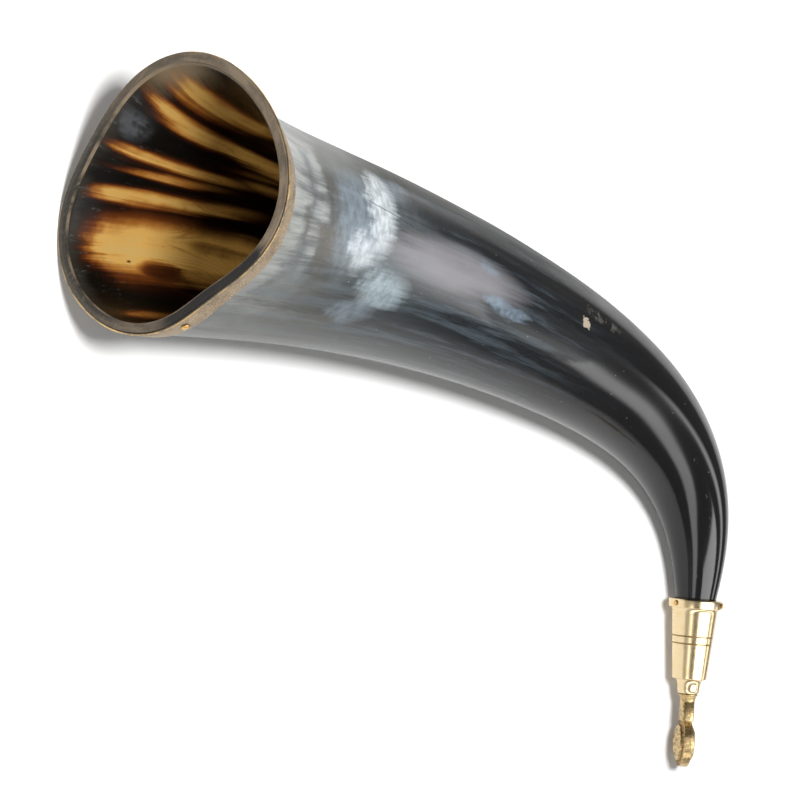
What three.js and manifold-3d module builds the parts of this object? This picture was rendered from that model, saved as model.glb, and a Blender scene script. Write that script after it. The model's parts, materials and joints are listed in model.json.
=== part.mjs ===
// A drinking horn: a natural horn with a nailed brass rim band, a turned brass ferrule and a cast finial.
// Millimetres and degrees, +Z up. The horn lies on its side with the mouth towards -X and the tip towards -Y.
import * as THREE from 'three';
import { ConvexHull } from 'three/addons/math/ConvexHull.js';
import { mergeVertices } from 'three/addons/utils/BufferGeometryUtils.js';
import Module from 'manifold-3d';

const wasm = await Module();
wasm.setup();

// Horn: centre line from the mouth to the ferrule, with an even bow and a hook that eases off at the tip
const HORN_LENGTH = 280;
const BOW_TURN = 25.4;
const HOOK_TURN = 63.3;
const HOOK_POWER = 4.42;

// Horn: a cone with a belly; its section is an uneven, cornered oval that turns round at the tip
const MOUTH_RADIUS = 32.9;
const TIP_RADIUS = 6.6;
const BELLY = 3.5;
const OVAL_SHARE = 0.123;
const OVAL_ANGLE = 43.4;
const LOBE_SHARE = 0.026;
const LOBE_ANGLE = 105.6;
const LOBE_FADE = 1.5;
const CORNER_SHARE = 0.026;
const CORNER_ANGLE = -5.3;
const CORNER_FADE = 4;

// Horn: the mouth flares most on one side and its saw cut leans back at the top
const FLARE = 5;
const FLARE_LENGTH = 11.8;
const FLARE_LEAN = 1.29;
const FLARE_ANGLE = 0;
const CUT_LEAN = 11;
const CUT_FADE = 4;

// Horn: hollow, and the tenon that fills the ferrule
const MOUTH_WALL = 2.8;
const BORE_DEPTH = 210;
const BORE_POWER = 4.5;
const TENON_LENGTH = 21;
const TENON_END_RADIUS = 4.3;

// Rim band: a strip of sheet with a butt seam
const BAND_FIT = 0.25;
const BAND_THICKNESS = 0.6;
const BAND_WIDTH = 6.5;
const BAND_SETBACK = 0.5;
const SEAM_ANGLE = 279;
const SEAM_GAP = 0.5;

// Rim nails, by their angle from the outer side of the bend towards +Z
const RIM_NAIL_ANGLES = [36, 166, 243, 315];
const NAIL_HEAD_RADIUS = 1.25;
const NAIL_HEAD_HEIGHT = 0.7;
const NAIL_SHANK_RADIUS = 0.5;
const NAIL_SHANK_LENGTH = 2.6;

// Ferrule nails, through the collar into the tenon
const FERRULE_NAIL_ANGLES = [-5, 118];
const PIN_HEAD_RADIUS = 0.9;
const PIN_HEAD_HEIGHT = 0.4;
const PIN_SHANK_RADIUS = 0.45;
const PIN_SHANK_LENGTH = 2.8;
const NAIL_FIT = 0.15;
const NAIL_SEAT = 0.15;

// Ferrule, from the collar's open end to the boss
const FERRULE_FIT = 0.25;
const COLLAR_RADIUS = 8.7;
const COLLAR_HEIGHT = 2.8;
const COLLAR_EDGE = 0.5;
const COLLAR_COVE = 2;
const CONE_TOP_RADIUS = 7.4;
const CONE_END_RADIUS = 5.6;
const CONE_LENGTH = 21.2;
const GROOVE_PLACES = [7.2, 9.6];
const GROOVE_WIDTH = 0.5;
const GROOVE_DEPTH = 0.25;
const BOSS_COVE = 2.2;
const BOSS_RADIUS = 3.6;
const BOSS_END_RADIUS = 3.3;
const BOSS_HEIGHT = 2.6;

// Finial: a spigot in the ferrule, a neck, a flat shoulder and a domed medallion seen on edge in the photograph
const SPIGOT_RADIUS = 1.6;
const SPIGOT_LENGTH = 6;
const SPIGOT_FIT = 0.2;
const FINIAL_SEAT = 0.15;
const NECK_TOP_RADIUS = 3.2;
const NECK_END_RADIUS = 2.4;
const NECK_LENGTH = 3;
const SHOULDER_HEIGHT = 5;
const SHOULDER_WIDTH = 7.6;
const SHOULDER_SWELL = 1.1;
const SHOULDER_THICKNESS = 4.2;
const MEDALLION_RADIUS = 7.9;
const MEDALLION_EDGE = 2.6;
const MEDALLION_CROWN = 2.1;
const MEDALLION_RIM = 1.5;
const MEDALLION_STEP = 0.45;
const FINIAL_TURN = -52;

// Densities in grams per cubic centimetre, for how the whole lies at rest
const HORN_DENSITY = 1.3;
const BRASS_DENSITY = 8.5;

// Facets
const ROUND_STEPS = 48;
const OUTER_STEPS = 40;
const INNER_STEPS = 26;
const TURNED_STEPS = 40;
const NAIL_STEPS = 12;
const CURVE_STEPS = 4;
const CENTRE_STEPS = 1000;
const END_CROWDING = 0.6;
const SETTLED = 1e-6;
const WELD = 1e-4;

const HORN = new THREE.MeshStandardMaterial({ color: 0x3c3b3a, roughness: 0.25, metalness: 0 });
const SHEET_BRASS = new THREE.MeshStandardMaterial({ color: 0xb79a70, roughness: 0.5, metalness: 1 });
const NAIL_BRASS = new THREE.MeshStandardMaterial({ color: 0xc9a45c, roughness: 0.35, metalness: 1 });
const TURNED_BRASS = new THREE.MeshStandardMaterial({ color: 0xd8b26a, roughness: 0.18, metalness: 1 });
const CAST_BRASS = new THREE.MeshStandardMaterial({ color: 0xc8a050, roughness: 0.4, metalness: 1 });

const { sin, cos, tan, PI } = Math;
const { degToRad, lerp } = THREE.MathUtils;
const UP = new THREE.Vector3(0, 0, 1);
const TURNING_AXIS = new THREE.Vector3(0, 1, 0);

// Angle that the centre line has turned at this distance from the mouth; past the horn's end it is straight
function turnAt(distance) {
  const share = Math.min(distance / HORN_LENGTH, 1);
  return degToRad(BOW_TURN * share + HOOK_TURN * (1 - cos(PI * share ** HOOK_POWER)) / 2);
}

// Point, direction and outer side of the centre line, which leaves the mouth along +X and bends towards -Y
function stationAt(distance) {
  const point = new THREE.Vector3();
  const step = distance / CENTRE_STEPS;
  for (let i = 0; i < CENTRE_STEPS; i += 1) {
    const turn = turnAt((i + 0.5) * step);
    point.x += step * cos(turn);
    point.y -= step * sin(turn);
  }
  const turn = turnAt(distance);
  const along = new THREE.Vector3(cos(turn), -sin(turn), 0);
  const side = new THREE.Vector3(sin(turn), cos(turn), 0);
  return { distance, point, along, side };
}

// Outside radius of the horn at an angle counted from the outer side of the bend towards +Z
function outerRadius(distance, angle) {
  const share = distance / HORN_LENGTH;
  const fade = 1 - share;
  const cone = lerp(MOUTH_RADIUS, TIP_RADIUS, share) + BELLY * sin(PI * share ** 2);
  const oval = OVAL_SHARE * fade * cos(2 * (angle - degToRad(OVAL_ANGLE)));
  const lobes = LOBE_SHARE * fade ** LOBE_FADE * cos(3 * (angle - degToRad(LOBE_ANGLE)));
  const corners = CORNER_SHARE * fade ** CORNER_FADE * cos(4 * (angle - degToRad(CORNER_ANGLE)));
  const lean = 1 + FLARE_LEAN * cos(angle - degToRad(FLARE_ANGLE));
  return cone * (1 + oval + lobes + corners) + FLARE * lean * Math.exp(-distance / FLARE_LENGTH);
}

// Radius of the hollow, which keeps the mouth's wall at first and closes to a round end at the bore's depth
function innerRadius(distance, angle) {
  const closing = Math.sqrt(1 - (distance / BORE_DEPTH) ** BORE_POWER);
  return (outerRadius(distance, angle) - MOUTH_WALL) * closing;
}

// A point at this angle and radius; sections near the mouth lean with its saw cut
function sectionPoint(station, angle, radius) {
  const fade = Math.max(1 - station.distance / HORN_LENGTH, 0) ** CUT_FADE;
  const height = radius * sin(angle);
  return station.point.clone()
    .addScaledVector(station.side, radius * cos(angle))
    .addScaledVector(UP, height)
    .addScaledVector(station.along, height * tan(degToRad(CUT_LEAN)) * fade);
}

// A ring of points round the centre line
function ringAt(distance, radiusAt) {
  const station = stationAt(distance);
  return Array.from({ length: ROUND_STEPS }, (_, i) => {
    const angle = 2 * PI * i / ROUND_STEPS;
    return sectionPoint(station, angle, radiusAt(distance, angle));
  });
}

// Distances from 0 to a length, closer together at both ends
function crowded(length, steps) {
  return Array.from({ length: steps + 1 }, (_, i) => {
    const share = i / steps;
    return length * (share - END_CROWDING * sin(2 * PI * share) / (2 * PI));
  });
}

// A closed solid through rings of equal count, each end closed by a fan to a point
function loft(rings, startPoint, endPoint) {
  const count = rings[0].length;
  const last = (rings.length - 1) * count;
  const points = rings.flat();
  const start = points.push(startPoint) - 1;
  const end = points.push(endPoint) - 1;
  const index = [];
  for (let i = 0; i < count; i += 1) {
    const next = (i + 1) % count;
    index.push(start, next, i, end, last + i, last + next);
    for (let row = 0; row < last; row += count) {
      const a = row + i;
      const b = row + next;
      index.push(a, b, b + count, a, b + count, a + count);
    }
  }
  const geometry = new THREE.BufferGeometry().setFromPoints(points);
  geometry.setIndex(index);
  return geometry;
}

// The middle of some points
function middleOf(points) {
  const sum = points.reduce((total, point) => total.add(point), new THREE.Vector3());
  return sum.divideScalar(points.length);
}

// A turned piece about +Y, from [radius, height] points whose outside is listed upwards
function turned(profile, steps) {
  return new THREE.LatheGeometry(profile.map(([radius, height]) => new THREE.Vector2(radius, height)), steps);
}

// A hollow quarter round between two [radius, height] points, tangent to the height at the first one
function cove([fromRadius, fromHeight], [toRadius, toHeight]) {
  return Array.from({ length: CURVE_STEPS + 1 }, (_, i) => {
    const angle = PI / 2 * i / CURVE_STEPS;
    return [lerp(fromRadius, toRadius, 1 - cos(angle)), lerp(fromHeight, toHeight, sin(angle))];
  });
}

// A geometry as a manifold solid
function solidOf(geometry) {
  const plain = geometry.clone();
  plain.deleteAttribute('normal');
  plain.deleteAttribute('uv');
  const merged = mergeVertices(plain, WELD);
  return new wasm.Manifold(new wasm.Mesh({
    numProp: 3,
    vertProperties: new Float32Array(merged.attributes.position.array),
    triVerts: new Uint32Array(merged.index.array),
  }));
}

// A manifold solid as a geometry
function geometryOf(solid) {
  const mesh = solid.getMesh();
  const geometry = new THREE.BufferGeometry();
  geometry.setAttribute('position', new THREE.BufferAttribute(new Float32Array(mesh.vertProperties), 3));
  geometry.setIndex(new THREE.BufferAttribute(new Uint32Array(mesh.triVerts), 1));
  geometry.computeVertexNormals();
  return geometry;
}

// A piece with the holes of its nails taken out
function drilled(geometry, nails) {
  const holes = nails.map((nail) => {
    nail.mesh.updateMatrix();
    return solidOf(nail.hole.clone().applyMatrix4(nail.mesh.matrix));
  });
  return geometryOf(solidOf(geometry).subtract(wasm.Manifold.union(holes)));
}

// A named piece in its own material
function piece(name, geometry, material) {
  const mesh = new THREE.Mesh(geometry, material.clone());
  mesh.name = name;
  return mesh;
}

// A round-headed nail whose head sits on a surface point, and the hole for its shank
function nailAt(name, point, normal, size) {
  const dome = Array.from({ length: CURVE_STEPS + 1 }, (_, i) => {
    const angle = PI / 2 * i / CURVE_STEPS;
    return [size.headRadius * cos(angle), size.headHeight * sin(angle)];
  });
  const shank = [[0, -size.shankLength], [size.shankRadius, -size.shankLength], [size.shankRadius, 0]];
  const mesh = piece(name, turned([...shank, ...dome.slice(0, -1), [0, size.headHeight]], NAIL_STEPS), NAIL_BRASS);
  mesh.position.copy(point).addScaledVector(normal, NAIL_SEAT);
  mesh.quaternion.setFromUnitVectors(TURNING_AXIS, normal);
  const holeRadius = size.shankRadius + NAIL_FIT;
  const holeEnd = -size.shankLength - NAIL_FIT;
  const hole = turned([[0, holeEnd], [holeRadius, holeEnd], [holeRadius, size.headHeight], [0, size.headHeight]],
    NAIL_STEPS);
  return { mesh, hole };
}

const RIM_NAIL = {
  headRadius: NAIL_HEAD_RADIUS,
  headHeight: NAIL_HEAD_HEIGHT,
  shankRadius: NAIL_SHANK_RADIUS,
  shankLength: NAIL_SHANK_LENGTH,
};
const FERRULE_NAIL = {
  headRadius: PIN_HEAD_RADIUS,
  headHeight: PIN_HEAD_HEIGHT,
  shankRadius: PIN_SHANK_RADIUS,
  shankLength: PIN_SHANK_LENGTH,
};

// A point on the outside of the rim band
function bandPoint(distance, angle) {
  const radius = outerRadius(distance, angle) + BAND_FIT + BAND_THICKNESS;
  return sectionPoint(stationAt(distance), angle, radius);
}

// A rim nail, square to the band in the middle of its width
function rimNail(degrees, i) {
  const angle = degToRad(degrees);
  const front = BAND_SETBACK;
  const back = BAND_SETBACK + BAND_WIDTH;
  const halfAngle = NAIL_HEAD_RADIUS / MOUTH_RADIUS;
  const around = bandPoint(lerp(front, back, 0.5), angle + halfAngle)
    .sub(bandPoint(lerp(front, back, 0.5), angle - halfAngle));
  const along = bandPoint(back, angle).sub(bandPoint(front, angle));
  const normal = around.cross(along).normalize();
  return nailAt(`rim_nail_${i + 1}`, bandPoint(lerp(front, back, 0.5), angle), normal, RIM_NAIL);
}

// A ferrule nail, square to the collar; it is placed in the tip's frame
function ferruleNail(degrees, i) {
  const angle = degToRad(degrees);
  const normal = new THREE.Vector3(cos(angle), 0, sin(angle));
  const point = normal.clone().multiplyScalar(COLLAR_RADIUS).setY(COLLAR_HEIGHT / 2);
  return nailAt(`ferrule_nail_${i + 1}`, point, normal, FERRULE_NAIL);
}

// The natural horn: hollow, outside and tenon in one skin
function hornShell() {
  const hollow = crowded(BORE_DEPTH, INNER_STEPS).slice(0, -1).reverse().map((d) => ringAt(d, innerRadius));
  const outside = crowded(HORN_LENGTH, OUTER_STEPS).map((d) => ringAt(d, outerRadius));
  const tenonEnd = HORN_LENGTH + TENON_LENGTH;
  const tenon = ringAt(tenonEnd, () => TENON_END_RADIUS);
  return loft([...hollow, ...outside, tenon], stationAt(BORE_DEPTH).point, stationAt(tenonEnd).point);
}

// The strip round the mouth, from one side of its seam to the other
function rimBand() {
  const places = [BAND_SETBACK, BAND_SETBACK + BAND_WIDTH / 2, BAND_SETBACK + BAND_WIDTH].map(stationAt);
  const halfGap = SEAM_GAP / 2 / outerRadius(0, degToRad(SEAM_ANGLE));
  const start = degToRad(SEAM_ANGLE) + halfGap;
  const end = degToRad(SEAM_ANGLE) + 2 * PI - halfGap;
  const sections = Array.from({ length: ROUND_STEPS + 1 }, (_, i) => {
    const angle = lerp(start, end, i / ROUND_STEPS);
    const layer = (station, offset) => sectionPoint(station, angle, outerRadius(station.distance, angle) + offset);
    const inside = places.map((station) => layer(station, BAND_FIT));
    const outside = places.map((station) => layer(station, BAND_FIT + BAND_THICKNESS));
    return [...inside, ...outside.reverse()];
  });
  return loft(sections, middleOf(sections[0]), middleOf(sections[ROUND_STEPS]));
}

// Heights along the ferrule, from its open end
const CONE_START = COLLAR_HEIGHT + COLLAR_COVE;
const CONE_END = CONE_START + CONE_LENGTH;
const FERRULE_LENGTH = CONE_END + BOSS_COVE + BOSS_HEIGHT;

// A fine V groove round the cone at a distance below its top
function groove(place) {
  const radiusAt = (height) => lerp(CONE_TOP_RADIUS, CONE_END_RADIUS, height / CONE_LENGTH);
  return [
    [radiusAt(place - GROOVE_WIDTH / 2), CONE_START + place - GROOVE_WIDTH / 2],
    [radiusAt(place) - GROOVE_DEPTH, CONE_START + place],
    [radiusAt(place + GROOVE_WIDTH / 2), CONE_START + place + GROOVE_WIDTH / 2],
  ];
}

// The turned ferrule, with the tenon's socket and the finial's bore
function ferrule() {
  const socketDepth = TENON_LENGTH + FERRULE_FIT;
  const boreRadius = SPIGOT_RADIUS + SPIGOT_FIT;
  const mouth = [TIP_RADIUS + FERRULE_FIT, 0];
  return turned([
    mouth,
    [COLLAR_RADIUS - COLLAR_EDGE, 0],
    [COLLAR_RADIUS, COLLAR_EDGE],
    [COLLAR_RADIUS, COLLAR_HEIGHT],
    ...cove([CONE_TOP_RADIUS, CONE_START], [COLLAR_RADIUS - COLLAR_EDGE, COLLAR_HEIGHT]).reverse(),
    ...GROOVE_PLACES.flatMap(groove),
    [CONE_END_RADIUS, CONE_END],
    ...cove([BOSS_RADIUS, CONE_END + BOSS_COVE], [CONE_END_RADIUS - COLLAR_EDGE, CONE_END]).reverse(),
    [BOSS_END_RADIUS, FERRULE_LENGTH],
    [boreRadius, FERRULE_LENGTH],
    [boreRadius, socketDepth],
    [TENON_END_RADIUS + FERRULE_FIT, socketDepth],
    mouth,
  ], TURNED_STEPS);
}

// The cast finial; its spigot starts below the neck's seat on the boss
function finial() {
  const shoulderStart = NECK_LENGTH;
  const crease = shoulderStart + SHOULDER_HEIGHT;
  const centre = crease + MEDALLION_RADIUS;
  const stem = turned([
    [0, -SPIGOT_LENGTH],
    [SPIGOT_RADIUS, -SPIGOT_LENGTH],
    [SPIGOT_RADIUS, 0],
    [NECK_TOP_RADIUS, 0],
    ...cove([NECK_END_RADIUS, NECK_LENGTH], [NECK_TOP_RADIUS, 0]).reverse().slice(1),
    [NECK_END_RADIUS, NECK_LENGTH + SHOULDER_HEIGHT / 2],
    [0, NECK_LENGTH + SHOULDER_HEIGHT / 2],
  ], TURNED_STEPS);

  const half = SHOULDER_WIDTH / 2;
  const outline = new THREE.Shape();
  outline.moveTo(-NECK_END_RADIUS, shoulderStart);
  outline.lineTo(NECK_END_RADIUS, shoulderStart);
  outline.quadraticCurveTo(half + SHOULDER_SWELL, lerp(shoulderStart, crease, 0.5), half, crease + MEDALLION_RIM);
  outline.lineTo(-half, crease + MEDALLION_RIM);
  outline.quadraticCurveTo(-half - SHOULDER_SWELL, lerp(shoulderStart, crease, 0.5), -NECK_END_RADIUS, shoulderStart);
  const shoulder = new THREE.ExtrudeGeometry(outline, {
    depth: SHOULDER_THICKNESS,
    bevelEnabled: false,
    curveSegments: 2 * CURVE_STEPS,
  });
  shoulder.translate(0, 0, -SHOULDER_THICKNESS / 2);

  const edge = MEDALLION_EDGE / 2;
  const field = MEDALLION_RADIUS - MEDALLION_RIM;
  const dome = Array.from({ length: CURVE_STEPS + 1 }, (_, i) => {
    const angle = PI / 2 * i / CURVE_STEPS;
    return [field * cos(angle), edge + MEDALLION_CROWN * sin(angle)];
  });
  const face = [
    [MEDALLION_RADIUS, edge],
    [MEDALLION_RADIUS - MEDALLION_STEP, edge + MEDALLION_STEP],
    [field + MEDALLION_STEP, edge + MEDALLION_STEP],
    ...dome.slice(0, -1),
    [0, edge + MEDALLION_CROWN],
  ];
  const back = face.map(([radius, height]) => [radius, -height]).reverse();
  const disc = turned([...back, ...face], TURNED_STEPS).rotateX(PI / 2).translate(0, centre, 0);

  return geometryOf(wasm.Manifold.union([stem, shoulder, disc].map(solidOf)));
}

// Centre of mass of the placed pieces, from the tetrahedron that each triangle makes with the origin
function centreOfMass(group) {
  const moment = new THREE.Vector3();
  let mass = 0;
  group.updateMatrixWorld(true);
  group.traverse((mesh) => {
    if (!mesh.isMesh) return;
    const corners = mesh.geometry.toNonIndexed().applyMatrix4(mesh.matrixWorld).attributes.position;
    const corner = (i) => new THREE.Vector3().fromBufferAttribute(corners, i);
    const density = mesh.name === 'horn_shell' ? HORN_DENSITY : BRASS_DENSITY;
    for (let i = 0; i < corners.count; i += 3) {
      const [a, b, c] = [corner(i), corner(i + 1), corner(i + 2)];
      const share = density * a.dot(b.clone().cross(c));
      mass += share;
      moment.addScaledVector(a.add(b).add(c), share / 4);
    }
  });
  return moment.divideScalar(mass);
}

// Outward normal of the hull face that the pieces settle on when they are let down along -Z
function restingNormal(group) {
  const hull = new ConvexHull().setFromObject(group);
  const centre = centreOfMass(group);
  let down = UP.clone().negate();
  let settled = false;
  while (!settled) {
    const reach = (face) => -face.distanceToPoint(centre) / Math.max(face.normal.dot(down), Number.EPSILON);
    const face = hull.faces.reduce((best, other) => (reach(other) < reach(best) ? other : best));
    settled = face.normal.distanceTo(down) < SETTLED;
    down = face.normal;
  }
  return down;
}

// The tip's frame: +Y along the ferrule from its open end, +Z up
const tip = new THREE.Group();
const tipStation = stationAt(HORN_LENGTH);
const tipBasis = new THREE.Matrix4().makeBasis(tipStation.side.clone().negate(), tipStation.along, UP);
tip.quaternion.setFromRotationMatrix(tipBasis);
tip.position.copy(tipStation.point);
tip.updateMatrix();

const rimNails = RIM_NAIL_ANGLES.map(rimNail);
const ferruleNails = FERRULE_NAIL_ANGLES.map(ferruleNail);
const tenonNails = ferruleNails.map(({ mesh, hole }) => {
  mesh.updateMatrix();
  const placed = new THREE.Mesh(mesh.geometry, mesh.material);
  placed.applyMatrix4(tip.matrix.clone().multiply(mesh.matrix));
  return { mesh: placed, hole };
});

const finialPiece = piece('finial', finial(), CAST_BRASS);
finialPiece.position.y = FERRULE_LENGTH + FINIAL_SEAT;
finialPiece.rotation.y = degToRad(FINIAL_TURN);

tip.add(piece('ferrule', drilled(ferrule(), ferruleNails), TURNED_BRASS));
tip.add(...ferruleNails.map((nail) => nail.mesh));
tip.add(finialPiece);

const lying = new THREE.Group();
lying.add(piece('horn_shell', drilled(hornShell(), [...rimNails, ...tenonNails]), HORN));
lying.add(piece('rim_band', drilled(rimBand(), rimNails), SHEET_BRASS));
lying.add(...rimNails.map((nail) => nail.mesh));
lying.add(tip);

// It lies on its side, turned so that the centre line leaves the mouth along +X as seen from above
const floor = restingNormal(lying);
lying.rotation.set(Math.atan2(-floor.y, -floor.z), Math.asin(floor.x), 0, 'ZYX');

// The origin is under the middle of the whole, on the surface that it lies on
const drinkingHorn = new THREE.Group();
drinkingHorn.add(lying);
const bounds = new THREE.Box3().setFromObject(drinkingHorn, true);
const centre = bounds.getCenter(new THREE.Vector3());
lying.position.set(-centre.x, -centre.y, -bounds.min.z);

export default drinkingHorn;
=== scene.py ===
"""A drinking horn on a plain studio floor, laid out as an add-on and run as a script.

Metres in Blender; the forms are worked out in millimetres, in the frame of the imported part.
"""
import json
import math

import bmesh
import bpy
import numpy as np
from bpy.props import FloatProperty, FloatVectorProperty, PointerProperty
from mathutils import Matrix, Vector


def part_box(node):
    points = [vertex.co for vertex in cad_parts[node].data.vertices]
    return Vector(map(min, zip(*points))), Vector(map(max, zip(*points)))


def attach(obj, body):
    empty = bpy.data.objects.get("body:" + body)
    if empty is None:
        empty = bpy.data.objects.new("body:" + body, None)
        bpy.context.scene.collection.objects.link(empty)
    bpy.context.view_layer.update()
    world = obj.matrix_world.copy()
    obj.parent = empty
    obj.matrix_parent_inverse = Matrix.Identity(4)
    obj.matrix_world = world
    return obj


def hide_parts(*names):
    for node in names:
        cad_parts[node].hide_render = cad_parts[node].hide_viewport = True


bl_info = {
    "name": "Drinking Horn",
    "version": (1, 0, 0),
    "blender": (4, 5, 0),
    "location": "3D View > Sidebar > Horn",
    "description": "Builds a polished drinking horn with its brass trim and a studio stage",
    "category": "Add Mesh",
}

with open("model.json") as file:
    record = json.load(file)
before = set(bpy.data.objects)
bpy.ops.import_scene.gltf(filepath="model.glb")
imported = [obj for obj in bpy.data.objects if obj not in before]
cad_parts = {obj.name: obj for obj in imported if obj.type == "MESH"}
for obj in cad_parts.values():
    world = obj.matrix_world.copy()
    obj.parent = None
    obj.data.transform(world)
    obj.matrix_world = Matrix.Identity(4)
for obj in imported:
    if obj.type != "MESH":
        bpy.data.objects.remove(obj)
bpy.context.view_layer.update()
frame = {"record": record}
BODY = "root"
MM = 0.001
TAU = 2 * math.pi

# Horn: the centre line's even bow and the hook that eases off at the tip, in degrees
BOW_TURN = 25.4
HOOK_TURN = 63.3
HOOK_POWER = 4.42

# Horn: the uneven section, its flare and the lean of the saw cut, in millimetres and degrees
BELLY = 3.5
OVAL_SHARE = 0.123
OVAL_ANGLE = 43.4
LOBE_SHARE = 0.026
LOBE_ANGLE = 105.6
LOBE_FADE = 1.5
CORNER_SHARE = 0.026
CORNER_ANGLE = -5.3
CORNER_FADE = 4
FLARE = 5
FLARE_LENGTH = 11.8
FLARE_LEAN = 1.29
FLARE_ANGLE = 0
CUT_LEAN = 11
CUT_FADE = 4
BORE_POWER = 4.5
TENON_LENGTH = 21
TENON_END_RADIUS = 4.3
RIM_ROUND = 0.3
AXIS_OFFSET = 0.01

# Horn: the shallow marks of scraping, and how far they keep from the mouth and the tip
SCRAPE_DEPTH = 0.14
SCRAPE_FROM_MOUTH = 6
SCRAPE_MOUTH_EASE = 12
SCRAPE_FROM_TIP = 4
SCRAPE_TIP_EASE = 25

# Unevenness round the mouth: waves by height in millimetres, count and start
SAW_LIFT = 0.1
SAW_WAVES = ((0.05, 9, 0.6), (0.03, 17, 2.1))
STRIP_SWAY = ((0.1, 7, 0.5), (0.06, 16, 1.1))
STRIP_STRETCH = 0.02
STRIP_SHIFT = 0.5
STRIP_DENTS = ((0.025, 11, 0), (0.015, 23, 0.7))

# Strip and nails, in millimetres and degrees, and shares of a nail's head
BAND_FIT = 0.25
BAND_CORNER_SHARE = 0.33
BAND_BRIGHT_WIDTH = 0.35
SEAM_ANGLE = 279
SEAM_GAP = 0.5
RIM_NAIL_ANGLES = (36, 166, 243, 315)
RIM_NAIL_SEED = 0.7
NAIL_SHANK_RADIUS = 0.5
NAIL_SHANK_LENGTH = 2.6
FERRULE_NAIL_ANGLES = (-5, 118)
FERRULE_NAIL_SEED = 3.1
PIN_SHANK_RADIUS = 0.45
PIN_SHANK_LENGTH = 2.8
NAIL_SEAT = 0.15
NAIL_NECK = 0.05
HEAD_FOOT_SHARE = 0.96
HEAD_BRIM_SHARE = 0.12
HEAD_ROUND_POWER = 0.8
HEAD_TILT = 0.05

# Ferrule, in millimetres and degrees
FERRULE_FIT = 0.25
TURNED_EDGE = 0.2
COLLAR_HEIGHT = 2.8
COLLAR_EDGE = 0.5
COLLAR_COVE = 2
CONE_EDGE = 0.25
GROOVE_PLACES = (7.2, 9.6)
GROOVE_WIDTH = 0.5
GROOVE_DEPTH = 0.25
GROOVE_POWER = 0.8
GROOVE_REACH = 2
BOSS_COVE = 3.3
BOSS_HEIGHT = 1.5
BOSS_END_RADIUS = 3.3
SHARP_ANGLE = 50

# Finial, in millimetres and degrees
SPIGOT_RADIUS = 1.6
SPIGOT_LENGTH = 6
SPIGOT_FIT = 0.2
FINIAL_SEAT = 0.15
FINIAL_TURN = -52
NECK_TOP_RADIUS = 3.2
NECK_END_RADIUS = 2.4
NECK_LENGTH = 3
SHOULDER_HEIGHT = 5
SHOULDER_WIDTH = 7.6
SHOULDER_THICKNESS = 4.2
SHOULDER_OVERLAP = 0.6
SHOULDER_SWELL = 0.25
SHOULDER_WIDEST = 0.85
MEDALLION_CROWN = 2.1
MEDALLION_RIM = 1.5
RELIEF_DEPTH = 0.5
BEAD_HEIGHT = 0.5
BEAD_COUNT = 26
PETAL_PAIRS = 4

# Places on the medallion's face, as shares of its field
BUTTON_SHARE = 0.22
PETALS_START = 0.24
LEAVES_START = 0.5
RELIEF_EASE = 0.1
RELIEF_END = 0.84
DOME_SHARE = 0.97
BEAD_PLACE = 0.93
BEAD_REACH = 0.09

# Where the finial's edge is filed and its relief dull, in millimetres, and how much the neck is filed
FILED_MARGIN = 0.05
FACE_MARGIN = 0.2
RECESS_REACH = 0.75
NECK_MARGIN = 0.3
NECK_FILED = 0.2

# Mesh steps, how much closer rings lie at the horn's ends, and how the casting is fused and softened
CENTRE_STEPS = 4000
ROUND_STEPS = 144
OUTER_STEPS = 240
OUTER_CROWDING = 0.4
INNER_STEPS = 130
INNER_CROWDING = 0.6
RIM_STEPS = 4
SAWN_STEPS = 6
EDGE_STEPS = 4
COVE_STEPS = 8
BAND_STEPS = 300
TURNED_STEPS = 128
CONE_STEPS = 22
GROOVE_STEPS = 8
NAIL_STEPS = 28
HEAD_STEPS = 8
DISC_STEPS = 128
FACE_STEPS = 44
STEM_STEPS = 64
SHOULDER_STEPS = 14
FUSE_VOXEL = 0.13
SOFTEN_STEPS = 2
SOFTEN_SHARE = 0.5

# The horn's materials in their order, and what is the same all over a finish
OUTSIDE, SAWN, HOLLOW = range(3)
OUTSIDE_IOR = 1.5
SAWN_IOR = 1.35
HOLLOW_IOR = 1.2
# Strength of the hollow's painted glow
HOLLOW_GLOW = 0.22
DULL_ROUGHNESS = 0.5
DULL_GLOSS = 0.12

# Clear streaks in the hollow, in degrees and millimetres: angle, slope, half width, start, end, strength
AMBER_STREAKS = (
    (256, 0.03, 13, -2, 260, 1.0), (309, 0.05, 3.6, -4, 70, 0.85), (298, 0.12, 2.8, 1, 62, 0.72),
    (282, 0.15, 4.2, -4, 80, 0.9), (340, -0.19, 4.6, -4, 120, 0.95), (354, 0.3, 8, -4, 100, 0.88),
    (213, 0.0, 3.2, -2, 50, 0.66), (376, 0.0, 7, 16, 90, 0.66), (408, 0.0, 5, 4, 60, 0.5),
    (135, 0.0, 7, 2, 70, 0.55), (170, 0.0, 6, 14, 90, 0.55),
)

# The photograph's view, the floor and the light, in metres, degrees and linear colours
CAMERA_PLACE = (-0.63955, -0.05144, 0.81149)
CAMERA_TURN = (0.7687, -38.3598, 4.3681)
CAMERA_LENS = 151.55
CAMERA_SENSOR = 36
CAMERA_NEAR = 0.01
CAMERA_FAR = 100
FLOOR_SIZE = 12.0
FLOOR_DROP = 0.0002
FLOOR_GRAIN = 90.0
FLOOR_GRAIN_SHADE = 0.97
FLOOR_LIFT = 0.07
SOFT_BOX_SIZE = (1.15, 0.84)
SOFT_BOX_PLACE = (0.41, -0.21, 1.0)
KEY_SIZE = (0.3, 0.3)
KEY_PLACE = (-0.3, 0.12, 1.07)
PANEL_LIGHT = (3.7, 3.7, 3.66)
PANEL_MATT_SHARE = 0.2
WALL_LIGHT = (0.5, 0.49, 0.46)
GROUND_LIGHT = (0.95, 0.95, 0.95)
HORIZON = (-0.02, 0.0)
BLACK = (0.0, 0.0, 0.0)
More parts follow.
